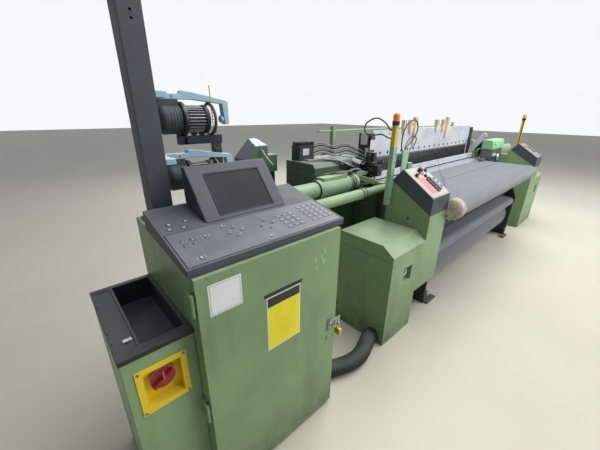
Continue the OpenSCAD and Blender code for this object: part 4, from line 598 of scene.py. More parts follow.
def web_path(rollers, tail, step=math.radians(5)):
    """Points (y, z) of the web's middle from its start point over each roller, then tail round the last."""
    points = []
    angle = None
    for i, (y, z, turn) in enumerate(rollers):
        before = tangent_angle(rollers[i - 1], rollers[i]) if i else None
        after = tangent_angle(rollers[i], rollers[i + 1]) if i + 1 < len(rollers) else before + tail
        if turn == 0:
            points.append((y, z))
            continue
        sweep = after - before
        if i + 1 < len(rollers):
            sweep = sweep % (2 * math.pi) if turn > 0 else -((-sweep) % (2 * math.pi))
        count = max(2, int(abs(sweep) / step))
        for k in range(count + 1):
            angle = before + sweep * k / count
            points.append((y + turn * math.cos(angle), z + turn * math.sin(angle)))
    return points


def split_long(points, longest):
    """The same path with extra points where a stretch is longer than longest."""
    path = [points[0]]
    for a, b in zip(points, points[1:]):
        count = max(1, math.ceil(math.dist(a, b) / longest))
        for k in range(1, count + 1):
            path.append((a[0] + (b[0] - a[0]) * k / count, a[1] + (b[1] - a[1]) * k / count))
    return path


def make_web(name, points, x_span, material, columns, ripple=0.0, thickness=1.0, body="root"):
    """A woven web: a grid over the path, mapped in metres, with a faint ripple, then given its thickness."""
    path = split_long(points, 40)
    run = [0.0]
    for a, b in zip(path, path[1:]):
        run.append(run[-1] + math.dist(a, b))
    bm = bmesh.new()
    map_layer = bm.loops.layers.uv.new("web")
    rows = []
    for i, (y, z) in enumerate(path):
        a, b = path[max(i - 1, 0)], path[min(i + 1, len(path) - 1)]
        normal = Vector((0, b[1] - a[1], a[0] - b[0])).normalized()
        row = []
        for k in range(columns + 1):
            x = x_span[0] + (x_span[1] - x_span[0]) * k / columns
            wave = noise.noise((x * 0.004, run[i] * 0.012, 0.7)) * ripple
            row.append(bm.verts.new(Vector((x, y, z)) + normal * wave))
        rows.append(row)
    for i, (lower, upper) in enumerate(zip(rows, rows[1:])):
        for k in range(columns):
            face = bm.faces.new((lower[k], lower[k + 1], upper[k + 1], upper[k]))
            for loop, (u, v) in zip(face.loops, ((k, i), (k + 1, i), (k + 1, i + 1), (k, i + 1))):
                loop[map_layer].uv = ((x_span[1] - x_span[0]) * u / columns * MM, run[v] * MM)
    bmesh.ops.recalc_face_normals(bm, faces=bm.faces)
    bmesh.ops.transform(bm, matrix=Matrix.Translation(ORIGIN) @ Matrix.Scale(MM, 4), verts=bm.verts)
    mesh = bpy.data.meshes.new(name)
    bm.to_mesh(mesh)
    bm.free()
    mesh.materials.append(material)
    mesh.shade_smooth()
    made = bpy.data.objects.new(name, mesh)
    bpy.context.scene.collection.objects.link(made)
    shell = made.modifiers.new("thickness", "SOLIDIFY")
    shell.thickness = thickness * MM
    shell.offset = 0
    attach(made, body)
    return made, run[-1] * MM


def make_cloth():
    """The cloth from the fell to the cloth roll."""
    rollers = [(FELL_Y, CLOTH_Z, 0), roller(breast_low, breast_high, 1), roller(takeup_low, takeup_high, -1),
               roller(press_low, press_high, 1), roller(wound_low, wound_high, -1)]
    made, length = make_web("woven_cloth", web_path(rollers, math.radians(-24)), CLOTH_X, CLOTH, 90,
                            0.5)
    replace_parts(made, "cloth_web")


def make_warp():
    """The warp from the healds to the beam."""
    start = span_of("warp_sheet")[0].y
    rollers = [(start, CLOTH_Z, 0), roller(rest_low, rest_high, -1),
               roller(beam_low, beam_high, -1, WARP_RADIUS)]
    made, length = make_web("warp_ends", web_path(rollers, math.radians(-20)), CLOTH_X, WARP, 60, 0.3)
    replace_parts(made, "warp_sheet")


make_cloth()
make_warp()


# Repeated pieces: Geometry Nodes trees, each ending in one finished mesh
def growth(name, sizes):
    """An empty tree with a carrier mesh and named sizes for inputs, and a mesh for output."""
    tree = bpy.data.node_groups.new(name, "GeometryNodeTree")
    tree.interface.new_socket("Carrier", in_out="INPUT", socket_type="NodeSocketGeometry")
    for label, kind in sizes + [("Finish", "Material")]:
        tree.interface.new_socket(label, in_out="INPUT", socket_type="NodeSocket" + kind)
    tree.interface.new_socket("Mesh", in_out="OUTPUT", socket_type="NodeSocketGeometry")
    return tree, tree.nodes.new("NodeGroupInput").outputs, tree.nodes.new("NodeGroupOutput").inputs["Mesh"]


def harvest(tree, given, result, instances):
    """Ends a tree: the instances made real and given their finish."""
    real = add_node(tree, "GeometryNodeRealizeInstances", Geometry=instances)
    dressed = add_node(tree, "GeometryNodeSetMaterial", Geometry=real.outputs[0], Material=given["Finish"])
    put(tree, result, dressed.outputs[0])
    return tree


def blocks_in_row():
    """Equal blocks along a line: reed dents, healds, drop wires, comb teeth and vents."""
    tree, given, result = growth("blocks_in_row", [
        ("Count", "Int"), ("Start", "Vector"), ("Step", "Vector"), ("Size", "Vector")])
    line = add_node(tree, "GeometryNodeMeshLine", {"mode": "OFFSET"}, Count=given["Count"],
                    Start_Location=given["Start"], Offset=given["Step"])
    block = add_node(tree, "GeometryNodeMeshCube", Size=given["Size"])
    placed = add_node(tree, "GeometryNodeInstanceOnPoints", Points=line.outputs[0], Instance=block.outputs[0])
    return harvest(tree, given, result, placed.outputs[0])


def rods_round_axis():
    """Rods round an axis that lies along x: drum ribs, and wheel teeth where a rod has four sides."""
    tree, given, result = growth("rods_round_axis", [
        ("Count", "Int"), ("Centre", "Vector"), ("Reach", "Float"), ("Thickness", "Float"), ("Length", "Float"),
        ("Sides", "Int")])
    line = add_node(tree, "GeometryNodeMeshLine", {"mode": "OFFSET"}, Count=given["Count"],
                    Start_Location=given["Centre"], Offset=(0, 0, 0))
    share = calc(tree, "DIVIDE", add_node(tree, "GeometryNodeInputIndex").outputs[0], given["Count"])
    turn = add_node(tree, "ShaderNodeCombineXYZ", X=calc(tree, "MULTIPLY", share, 2 * math.pi))
    rod = add_node(tree, "GeometryNodeMeshCylinder", Vertices=given["Sides"], Radius=given["Thickness"],
                   Depth=given["Length"])
    reach = add_node(tree, "ShaderNodeCombineXYZ", Z=given["Reach"])
    laid = add_node(tree, "GeometryNodeTransform", Geometry=rod.outputs[0], Translation=reach.outputs[0],
                    Rotation=(0, math.pi / 2, 0))
    placed = add_node(tree, "GeometryNodeInstanceOnPoints", Points=line.outputs[0], Instance=laid.outputs[0],
                      Rotation=turn.outputs[0])
    return harvest(tree, given, result, placed.outputs[0])


def heads_on_spots():
    """Socket heads, studs and caps: one on each point of the carrier, along its facing and of its size."""
    tree, given, result = growth("heads_on_spots", [("Sides", "Int"), ("Rise", "Float"), ("Bore", "Float")])
    head = add_node(tree, "GeometryNodeMeshCylinder", Vertices=given["Sides"], Radius=1.0, Depth=given["Rise"])
    lip = add_node(tree, "GeometryNodeExtrudeMesh", Mesh=head.outputs["Mesh"], Selection=head.outputs["Top"],
                   Offset_Scale=0.0)
    bore = add_node(tree, "GeometryNodeScaleElements", Geometry=lip.outputs["Mesh"],
                    Selection=lip.outputs["Top"], Scale=given["Bore"])
    sunk = add_node(tree, "GeometryNodeExtrudeMesh", Mesh=bore.outputs[0], Selection=lip.outputs["Top"],
                    Offset_Scale=calc(tree, "MULTIPLY", given["Rise"], -0.35))
    facing = add_node(tree, "GeometryNodeInputNamedAttribute", {"data_type": "FLOAT_VECTOR"}, Name="facing")
    size = add_node(tree, "GeometryNodeInputNamedAttribute", {"data_type": "FLOAT"}, Name="size")
    turn = add_node(tree, "FunctionNodeAlignRotationToVector", {"axis": "Z"}, Vector=facing.outputs[0])
    placed = add_node(tree, "GeometryNodeInstanceOnPoints", Points=given["Carrier"],
                      Instance=sunk.outputs["Mesh"], Rotation=turn.outputs[0], Scale=size.outputs[0])
    return harvest(tree, given, result, placed.outputs[0])


def blocks_on_spots():
    """Small blocks: one on each point of the carrier, of its own extent and turn."""
    tree, given, result = growth("blocks_on_spots", [])
    block = add_node(tree, "GeometryNodeMeshCube", Size=(1, 1, 1))
    extent = add_node(tree, "GeometryNodeInputNamedAttribute", {"data_type": "FLOAT_VECTOR"}, Name="extent")
    turn = add_node(tree, "GeometryNodeInputNamedAttribute", {"data_type": "FLOAT_VECTOR"}, Name="turn")
    placed = add_node(tree, "GeometryNodeInstanceOnPoints", Points=given["Carrier"], Instance=block.outputs[0],
                      Rotation=turn.outputs[0], Scale=extent.outputs[0])
    return harvest(tree, given, result, placed.outputs[0])


ROW = blocks_in_row()
RIBS = rods_round_axis()
HEADS = heads_on_spots()
TILES = blocks_on_spots()


def grown(name, tree, material, body, slot, points=(), attributes=None, smooth=False, **sizes):
    """A piece made by a tree, in metres; attributes are name: (kind, values), a value for each point."""
    carrier = bpy.data.meshes.new(name)
    carrier.from_pydata([tuple(p) for p in points], [], [])
    for label, (kind, values) in (attributes or {}).items():
        layer = carrier.attributes.new(label, kind, "POINT")
        flat = [v for value in values for v in (value if kind == "FLOAT_VECTOR" else (value,))]
        layer.data.foreach_set("vector" if kind == "FLOAT_VECTOR" else "value", flat)
    made = bpy.data.objects.new(name, carrier)
    bpy.context.scene.collection.objects.link(made)
    shape = made.modifiers.new("shape", "NODES")
    shape.node_group = tree
    sizes["Finish"] = material
    for item in tree.interface.items_tree:
        if item.item_type == "SOCKET" and item.in_out == "INPUT" and item.name in sizes:
            shape[item.identifier] = sizes[item.name]
    mesh = bpy.data.meshes.new_from_object(made.evaluated_get(bpy.context.evaluated_depsgraph_get()))
    made.modifiers.clear()
    made.data = mesh
    mesh.name = name
    if smooth:
        mesh.shade_smooth()
        mesh.set_sharp_from_angle(angle=SHARP)
    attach(made, body)
    return made


def row_of(name, count, start, step, size, material, body="root", slot=None):
    """A row of blocks; start is the first block's middle, all in millimetres."""
    return grown(name, ROW, material, body, slot, Count=count, Start=tuple(at(*start)),
                 Step=tuple(v * MM for v in step), Size=tuple(v * MM for v in size))


def heads(name, spots, material, sides=16, rise=0.7, bore=0.5, body="root", slot=None):
    """Heads at (place, facing, radius) in millimetres; rise and bore are shares of the radius."""
    return grown(name, HEADS, material, body, slot, [at(*place) for place, _, _ in spots],
                 {"facing": ("FLOAT_VECTOR", [facing for _, facing, _ in spots]),
                  "size": ("FLOAT", [radius * MM for _, _, radius in spots])}, True, Sides=sides, Rise=rise,
                 Bore=bore)


def tiles(name, spots, material, body="root", slot=None):
    """Small blocks at (place, extent, turn), in millimetres and radians."""
    return grown(name, TILES, material, body, slot, [at(*place) for place, _, _ in spots],
                 {"extent": ("FLOAT_VECTOR", [tuple(v * MM for v in extent) for _, extent, _ in spots]),
                  "turn": ("FLOAT_VECTOR", [turn for _, _, turn in spots])})


def ribs_round(name, count, centre, reach, thickness, length, material, sides=8, body="root", slot=None):
    """Rods along x round a centre, in millimetres."""
    return grown(name, RIBS, material, body, slot, (), None, sides > 4, Count=count, Centre=tuple(at(*centre)),
                 Reach=reach * MM, Thickness=thickness * MM, Length=length * MM, Sides=sides)


# Shared shapes
SWEEPS = {"X": ((1, 0, 0), (0, 1, 0), (0, 0, 1)), "Y": ((0, 1, 0), (0, 0, 1), (1, 0, 0)),
          "Z": ((0, 0, 1), (1, 0, 0), (0, 1, 0))}


def add_turned(bm, profile, centre, axis="X", sides=48, closed=False):
    """A turned shape: a profile of (place along the axis, radius) swept round the axis; closed makes a ring."""
    along_way, first, second = (Vector(v) for v in SWEEPS[axis])
    rows = []
    for along, radius in profile:
        middle = Vector(centre) + along_way * along
        turns = [2 * math.pi * k / sides for k in range(sides)] if radius else [0.0]
        rows.append([bm.verts.new(middle + (first * math.cos(a) + second * math.sin(a)) * radius)
                     for a in turns])
    for lower, upper in zip(rows, rows[1:] + (rows[:1] if closed else [])):
        if len(lower) == 1 and len(upper) == 1:
            continue
        for k in range(sides):
            corners = []
            for row, step in ((lower, k), (lower, k + 1), (upper, k + 1), (upper, k)):
                corner = row[step % len(row)]
                if corner not in corners:
                    corners.append(corner)
            bm.faces.new(corners)


def ring_profile(x0, x1, inner, outer, round_off=1.0):
    """The section of a ring with its outer edges rounded off."""
    return [(x0, inner), (x0, outer - round_off), (x0 + round_off, outer), (x1 - round_off, outer),
            (x1, outer - round_off), (x1, inner)]


def bar_profile(x0, x1, radius, round_off=1.0):
    """The profile of a solid round bar with rounded-off ends."""
    return [(x0, 0), (x0, radius - round_off), (x0 + round_off, radius), (x1 - round_off, radius),
            (x1, radius - round_off), (x1, 0)]


def add_prism(bm, near_points, far_points):
    """A closed solid between two outlines with the same number of corners."""
    near = [bm.verts.new(p) for p in near_points]
    far = [bm.verts.new(p) for p in far_points]
    bm.faces.new(near)
    bm.faces.new(list(reversed(far)))
    for k in range(len(near)):
        following = (k + 1) % len(near)
        bm.faces.new((near[k], far[k], far[following], near[following]))


def add_profile(bm, outline, x0, x1):
    """A plate of a given outline, a list of (y, z), between two x places."""
    add_prism(bm, [(x0, y, z) for y, z in outline], [(x1, y, z) for y, z in outline])


def add_slab(bm, corners, out, thickness):
    """A thin slab over a flat face, given by the face's corners and the way it rises."""
    rise = Vector(out).normalized() * thickness
    add_prism(bm, corners, [Vector(corner) + rise for corner in corners])


def face_frame(origin, tilt):
    """Turns places on a sloping face, as x, run up the slope and height over it, into millimetres."""
    slope = math.radians(tilt)
    run = Vector((0, math.cos(slope), math.sin(slope)))
    out = Vector((0, -math.sin(slope), math.cos(slope)))
    return Matrix.Translation(Vector(origin)) @ Matrix((Vector((1, 0, 0)), run, out)).transposed().to_4x4()


def boxes(name, spans, material, bevel=0.5, face=None, body="root"):
    """One piece of several boxes, each given by two corners, on a sloping face if one is given."""
    def build(bm):
        for low, high in spans:
            add_box(bm, low, high, face)
    return piece_from(name, build, material, bevel, body=body)


def edging(x, u, width, base, rise):
    """The four bars of a thin frame round a field on a face."""
    return [((x[0], u[0], base), (x[1], u[0] + width, rise)), ((x[0], u[1] - width, base), (x[1], u[1], rise)),
            ((x[0], u[0] + width, base), (x[0] + width, u[1] - width, rise)),
            ((x[1] - width, u[0] + width, base), (x[1], u[1] - width, rise))]


def mirrored_x(x):
    """The same place at the machine's other end."""
    return 2 * FRAME_MIDDLE - x


FRAME_MIDDLE = 3254.5
FRAME_X = (1800, 4709)
GUARD_AXIS = (0, 665, 991.2)
CROSS_AXIS = (0, 500, 943)
POST_X = 1595
POST_Y = 357
ROLL_END = 1880
DOWN_Y = (0, -1, 0)
UP_Z = (0, 0, 1)
LEFT_X = (-1, 0, 0)
RIGHT_X = (1, 0, 0)
BACK_Y = (0, 1, 0)


# Cabinet: plates on the door, lock furniture and padlock
ON_DOOR = face_frame((0, 0, 0), 90)


def make_door_plates():
    """Blank plates: white with a grey line, a black strip, and a yellow field with a black band."""
    boxes("door_plate", [((38, 895, 0), (155, 1010, 0.8))], PLATE_WHITE, 0.3, ON_DOOR, body="door")
    boxes("door_plate_line", edging((43, 150), (900, 1005), 1.2, 0.7, 1.0), PLATE_GREY,
          0, ON_DOOR, body="door")
    boxes("door_strip", [((242, 867, 0), (427, 881, 1.0))], BLACK, 0.3, ON_DOOR, body="door")
    boxes("door_sign_edge", [((252, 618, 0), (418, 863, 0.8))], PLATE_WHITE, 0.3, ON_DOOR, body="door")
    boxes("door_sign_field", [((256, 622, 0.6), (414, 820, 1.2))], SIGN_YELLOW, 0.2, ON_DOOR, body="door")
    boxes("door_sign_band", [((256, 820, 0.6), (414, 859, 1.25))], BLACK, 0.2, ON_DOOR, body="door")


def make_dent_highlights():
    """Painted highlights of small dents: pale smears low beside the door's upper right corner."""
    lot = random.Random(8)
    spots = [((x, -0.2, z), (lot.uniform(10, 18), 0.4, lot.uniform(20, 34)), (0, lot.uniform(-0.4, 0.4), 0))
             for x, z in ((555, 965), (503, 936), (552, 914), (513, 897), (540, 940))]
    tiles("door_dent_highlights", spots, DENT_HIGHLIGHT_GREEN, body="door")


def make_lock_furniture():
    """A steel strap over the hasp with its two escutcheons, and a lip along the door's edge."""
    boxes("hasp_strap", [((595, 523, 4), (624, 583, 5.2)), ((624, 527, 4), (648, 560, 4.8))], DULL_STEEL, 0.6,
          ON_DOOR, body="door")
    heads("lock_escutcheons", [((615, -5.2, 563), DOWN_Y, 8.5), ((610, -5.2, 536), DOWN_Y, 5.5)], CHROME, 24,
          0.5, 0.55, body="door")


def make_padlock():
    """A brass body with a steel shackle through the hasp's hole."""
    low, high = span_of("padlock")
    middle = (low + high) / 2
    shackle = 4
    half_gap = 6
    body_top = low.z + 34

    def body(bm):
        add_box(bm, (low.x, low.y, low.z + 1), (high.x, high.y, body_top))
        add_turned(bm, [(0, 0), (0, 6), (1.0, 5.4), (1.0, 0)], (middle.x, middle.y, low.z), "Z", 20)
        for y in (middle.y - half_gap, middle.y + half_gap):
            add_turned(bm, bar_profile(0, 2.2, 5.2, 0.8), (middle.x, y, body_top - 0.5), "Z", 20)

    def bow(bm):
        arch = high.z - shackle - half_gap
        path = [Vector((middle.x, middle.y - half_gap, body_top - 4)),
                Vector((middle.x, middle.y - half_gap, arch - 8))]
        for k in range(13):
            turn = math.pi * (1 - k / 12)
            path.append(Vector((middle.x, middle.y + half_gap * math.cos(turn),
                                arch + half_gap * math.sin(turn))))
        path += [Vector((middle.x, middle.y + half_gap, arch - 8)),
                 Vector((middle.x, middle.y + half_gap, body_top - 4))]
        add_tube(bm, path, shackle * 0.9, 14)

    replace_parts(piece_from("padlock_body", body, BRASS, 2.2, body="door"), "padlock")
    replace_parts(piece_from("padlock_bow", bow, CHROME, body="door"), "padlock")


def make_switch_furniture():
    """Screws of the yellow plate, the pale rim round the knob, and the tray's slots and small lamp."""
    spots = [((x, 53.6, z), DOWN_Y, 4.2) for x in (-181, -45) for z in (606, 767)]
    heads("switch_plate_screws", spots, DULL_STEEL, 14, 0.5, 0.5)

    def rim(bm):
        add_turned(bm, [(70, 37.2), (70, 40.6), (72.5, 41.4), (75, 40.6), (76, 38.6), (74, 37.2)],
                   (-113, 0, 698.5), "Y", 56, True)

    piece_from("knob_rim", rim, ROSE, body="main_switch")
    boxes("knob_mark", [((-115, 55.2, 703), (-111, 57, 734))], ROSE, 0.3, body="main_switch")

    def lamp(bm):
        add_box(bm, (-188, 133, 839.6), (-163, 147, 840.6))
        for x in (-183, -168):
            add_turned(bm, [(0, 0), (0, 6), (2.2, 5.2), (3, 3), (3.2, 0)], (x, 140, 840.2), "Z", 20)

    piece_from("tray_lamp", lamp, PLATE_WHITE, 0.3)
    # The tray's slots as thin black boxes: painted shade inside the openings.
    boxes("tray_slot_shade", [((-219, y, 838), (-214, y + 26, 840.4)) for y in (90, 150, 210, 380)], RUBBER, 0.4)


make_door_plates()
make_dent_highlights()
make_lock_furniture()
make_padlock()
make_switch_furniture()


# Console: marks on the keys, thin frame lines, side slots of the display
CONSOLE_X = -9
CONSOLE_W = 693
CONSOLE_SLOPE = 0.224868
CONSOLE_TILT = math.degrees(math.atan(CONSOLE_SLOPE))
KEY_TOP = 1.75
KEY_PITCH = 26
KEY_STEP = 0.0462 * CONSOLE_W
KEY_W = 0.0317 * CONSOLE_W
KEY_D = 15


def on_console(x, y, lift):
    """A place over the console's sloping top."""
    tilt = math.radians(CONSOLE_TILT)
    return (x, y - lift * math.sin(tilt), 1073 + (y - 15) * CONSOLE_SLOPE + lift * math.cos(tilt))


def key_places():
    """Middle of each rectangular key, as x and y."""
    for share, y0, across, up in ((0.799, 60, 4, 5), (0.612, 62, 3, 4), (0.056, 120, 2, 2)):
        for i in range(across):
            for j in range(up):
                yield (CONSOLE_X + share * CONSOLE_W + i * KEY_STEP + KEY_W / 2, y0 + j * KEY_PITCH + KEY_D / 2)


def make_key_marks():
    """Pale edges, dark windows and pale strokes on the keys, and strokes round the arrow keys."""
    tilt = (math.radians(CONSOLE_TILT), 0, 0)
    pale, dark = [], []
    lot = random.Random(5)
    for x, y in key_places():
        left = x < 200
        pale.append((on_console(x, y - KEY_D / 2 + 1.2, KEY_TOP), (KEY_W - 3, 1.2, 0.4), tilt))
        if left:
            dark.append((on_console(x - 2, y + 1, KEY_TOP), (13, 10, 0.4), tilt))
            pale.append((on_console(x - 2, y + 1, KEY_TOP + 0.2), (4 + 3 * lot.random(), 3.5, 0.4), tilt))
        else:
            stroke = 4 + 9 * lot.random()
            pale.append((on_console(x + lot.uniform(-1, 1), y + 1.5, KEY_TOP), (stroke, 2.6, 0.4), tilt))
            if lot.random() < 0.6:
                pale.append((on_console(x + lot.uniform(-4, 4), y + 4.8, KEY_TOP), (3.5, 2.0, 0.4), tilt))
    lime = []
    for share, y0, marks in ((0.333, 132, lime), (0.521, 122, dark)):
        x0 = CONSOLE_X + share * CONSOLE_W
        for dx, dy in ((1, 0), (-1, 0), (0, 1), (0, -1)):
            x, y = x0 + dx * 0.0375 * CONSOLE_W, y0 + dy * KEY_PITCH
            turn = math.radians(45) + math.atan2(dy, dx)
            marks.append((on_console(x, y, KEY_TOP), (7, 7, 0.4), (tilt[0], 0, turn)))
            pale.append((on_console(x + 10, y + 9, KEY_TOP - 1.3), (3, 5, 0.4), tilt))
    for share, y, marks in ((0.092, 52, pale), (0.179, 152, lime), (0.29, 182, pale), (0.472, 52, pale)):
        x = CONSOLE_X + share * CONSOLE_W
        marks.append((on_console(x, y, KEY_TOP), (6, 9, 0.4), (tilt[0], 0, math.radians(20))))
        pale.append((on_console(x - 12, y, KEY_TOP - 1.4), (1.4, 16, 0.4), tilt))
        pale.append((on_console(x + 12, y, KEY_TOP - 1.4), (1.4, 16, 0.4), tilt))
    small_keys = [(38, 266), (98, 268), (30, 236), (76, 230)]
    tiles("corner_keys", [(on_console(x, y, 0), (22, 15, 2.4), tilt) for x, y in small_keys], SLATE_DARK)
    pale += [(on_console(x - 1, y + 1, 1.3), (9, 5, 0.4), tilt) for x, y in small_keys]
    pale += [(on_console(x, y - 5.5, 1.3), (16, 1, 0.4), tilt) for x, y in small_keys]
    tiles("key_marks_pale", pale, MARK_PALE)
    tiles("key_marks_dark", dark, MARK_DARK)
    tiles("key_marks_lime", lime, MARK_LIME)


def make_console_lines():
    """The film's raised edge, cooling slots in the display's left side, and a dark lip round the screen."""
    on_top = face_frame((0, 15, 1073), CONSOLE_TILT)
    boxes("film_edge", edging((0.5, 674.5), (9.5, 198), 1.6, -0.4, 0.7), MARK_EDGE, 0.2, on_top)
    low, high = span_of("monitor_housing")
    # Cooling slots drawn as dark tiles: painted shade inside the openings.
    slots = []
    for k in range(12):
        y = low.y + 66 + k * 8.6
        top = min(low.z + 26 + (y - low.y) * 0.98, high.z - 34)
        slots.append(((low.x + 0.1, y, (low.z + 34 + top) / 2 + 8), (1.2, 3.6, max(top - low.z - 40, 14)),
                      (0, 0, 0)))
    tiles("display_side_slot_shade", slots, MARK_DARK)
    boxes("screen_lip", edging((65, 316), (20, 202), 2.2, -6, 0.6), MARK_DARK, 0,
          face_frame((152, 218, 1118.65), 49))


make_key_marks()
make_console_lines()


# Weft feeders: each with a slate housing, black ring, ribbed drum, guard ring and pale blue arm
FEEDER_Y = 586
FEEDER_ZS = (1467, 1227)


def make_feeders():
    """Both feeders, piece by piece; the drum's core and ribs turn."""
    for i, z in enumerate(FEEDER_ZS):
        drop = z - FEEDER_ZS[0]
        drum = f"drum_{i + 1}"

        def arms(bm):
            add_box(bm, (114, 436, 1545 + drop), (154, 606, 1567 + drop))
            add_box(bm, (114, 566, 1545 + drop), (250, 606, 1567 + drop))
            hump = [(240, 1545), (250, 1567), (258, 1580), (306, 1575), (460, 1548), (470, 1540), (470, 1444),
                    (448, 1444), (440, 1532), (306, 1546)]
            add_prism(bm, [(x, 569, h + drop) for x, h in hump], [(x, 603, h + drop) for x, h in hump])
            add_turned(bm, bar_profile(430, 446, 17, 3), (0, FEEDER_Y, z), "X", 28)

        def housing(bm):
            profile = [(150, 0), (150, 40), (154, 50), (162, 57), (172, 60)]
            for x in (188, 200, 212, 224):
                profile += [(x, 60), (x + 0.8, 58.6), (x + 2.4, 58.6), (x + 3.2, 60)]
            profile += [(240, 60), (240, 0)]
            add_turned(bm, profile, (0, FEEDER_Y, z), "X", 56)
            add_box(bm, (156, 558, z), (236, 614, 1546 + drop))
            add_box(bm, (164, 610, z - 34), (230, 650, z + 34))

        def ring(bm):
            add_turned(bm, [(240, 48), (240, 66), (243, 70), (248, 71), (254, 71), (258, 69), (260, 64),
                            (260, 48)], (0, FEEDER_Y, z), "X", 64, True)
            add_turned(bm, bar_profile(240, 260.2, 50, 1), (0, FEEDER_Y, z), "X", 40)

        def guard(bm):
            add_turned(bm, ring_profile(374, 384, 60, 71, 2), (0, FEEDER_Y, z), "X", 64, True)
            add_box(bm, (374, 578, z + 62), (384, 594, 1548 + drop))
            for k in range(28):
                turn = 2 * math.pi * k / 28
                out = Vector((0, math.cos(turn), math.sin(turn)))
                middle = Vector((0, FEEDER_Y, z))
                add_rod(bm, middle + out * 64 + Vector((373, 0, 0)), middle + out * 55 + Vector((364, 0, 0)),
                        1.1, 5)

        def below(bm):
            low = z - 104
            add_box(bm, (226, 571, low), (427, 601, low + 37))
            add_box(bm, (226, 574, low + 30), (240, 598, z - 50))
            add_turned(bm, bar_profile(0, 22, 15, 2), (268, 560, low + 16), "Y", 28)
            for x in (300, 336):
                add_turned(bm, [(-3, 0), (-3, 16), (-1, 13), (0, 5), (1, 13), (3, 16), (3, 0)],
                           (x, 586, low + 50), "Y", 26)
                add_rod(bm, (x, 586, low + 34), (x, 586, low + 72), 2.2, 10)
            add_tube(bm, smooth_path([(380, 586, low + 36), (392, 586, low + 60), (404, 586, low + 58),
                                      (414, 586, low + 36)], 6), 1.6, 8)

        def axle(bm):
            add_turned(bm, bar_profile(240, 311, 12, 1), (0, FEEDER_Y, z), "X", 24)

        def core(bm):
            profile = [(261, 12.5), (261, 50), (263, 56), (266, 57), (266, 50), (339, 50), (342, 58), (346, 60),
                       (357, 60), (361, 57), (361, 40), (356, 34), (356, 12.5)]
            add_turned(bm, profile, (0, FEEDER_Y, z), "X", 56, True)
            add_turned(bm, bar_profile(311, 359, 14, 2), (0, FEEDER_Y, z), "X", 24)

        tag = f"feeder_{i + 1}_"
        for name, build, material, slot, edge in (
                ("arm", arms, BLUE, "blue_plastic", 2.5),
                                                  ("housing", housing, SLATE_DARK, "slate_plastic", 1.5),
                ("ring", ring, RING_BLACK, "black_plastic", 0),
                                                  ("guard", guard, GUARD_GREY, "slate_plastic", 0),
                ("tension", below, IRON, "steel", 0.8), ("axle", axle, STEEL, "steel", 0)):
            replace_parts(piece_from(tag + name, build, material, edge), "weft_feeders")
        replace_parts(piece_from(tag + "core", core, BLACK, body=drum), f"feeder_{drum}")
        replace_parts(ribs_round(tag + "ribs", 26, (302.5, FEEDER_Y, z), 53.6, 3.0, 73, RIB_STEEL, body=drum),
                    f"feeder_{drum}")
        heads(tag + "screws", [((180 + 36 * k, 605.8, 1556 + drop), BACK_Y, 4) for k in range(2)]
              + [((x, 565.8, 1556 + drop), DOWN_Y, 4) for x in (132, 176, 216)], DULL_STEEL)
    leg = boxes("feeder_leg", [((380, 574, 1260), (424, 598, 1364)), ((388, 570, 1300), (416, 574, 1340))],
                BLACK_PAINT, 2)
    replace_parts(leg, "weft_feeders")
    piece_from("yarn_rod", lambda bm: add_rod(bm, (384, 570, 1606), (389, 570, 1416), 2.6, 12), YARN_LIME)


make_feeders()


# Signal lamp on the left: mint channel in front of the yellow post, and ribs inside both domes
def make_lamp_details():
    """Channel, screws, ribbed domes and their bases."""
    boxes("post_channel", [((1573, 336, 872), (1618, 341.8, 1290)), ((1572.8, 341, 872), (1576.8, 363, 1290)),
                           ((1613.2, 341, 872), (1618, 366, 1290))], MINT, 0.8)
    heads("channel_screws", [((1598, 335.8, z), DOWN_Y, 4.5) for z in (1236, 1180, 1124, 920)], BLACK)
    right = mirrored_x(1577)
    # A dark strip of painted shade along the right post's left side.
    boxes("right_post_side_shade", [((right - 36.8, 340.8, 880), (right - 34, 352, 1424))], HOLE_SHADE, 0)
    for x in (POST_X, mirrored_x(POST_X)):
        side = "left" if x < FRAME_MIDDLE else "right"

        def dome(bm):
            profile = [(0, 0), (0, 23)]
            for k in range(8):
                profile += [(3 + k * 4, 23), (5 + k * 4, 22.2)]
            profile += [(36, 22.6), (44, 19), (49, 12), (51.5, 5), (52, 0)]
            add_turned(bm, profile, (x, POST_Y, 1453), "Z", 40)

        def base(bm):
            add_turned(bm, [(0, 0), (0, 20), (3, 24.6), (10, 24.9), (11, 23.8), (13, 23.8), (14, 24.9),
                            (25, 24.9), (28, 23.4), (28, 0)], (x, POST_Y, 1425), "Z", 40)

        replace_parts(piece_from(f"lamp_dome_{side}", dome, ORANGE), "beacons")
        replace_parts(piece_from(f"lamp_base_{side}", base, BLACK), "lamp_bases")


make_lamp_details()


# Panels on the end columns
PANEL_TILT = math.degrees(math.atan2(163, 241))
PANEL_FROM = 1627
PANEL_W = 269
PANEL_RUN = 291
PLATE_RISE = 3


def on_panel(x, u, lift):
    """A place over the panel's sloping plate."""
    slope = math.radians(PANEL_TILT)
    return (x, 35 + u * math.cos(slope) - lift * math.sin(slope),
            973 + u * math.sin(slope) + lift * math.cos(slope))


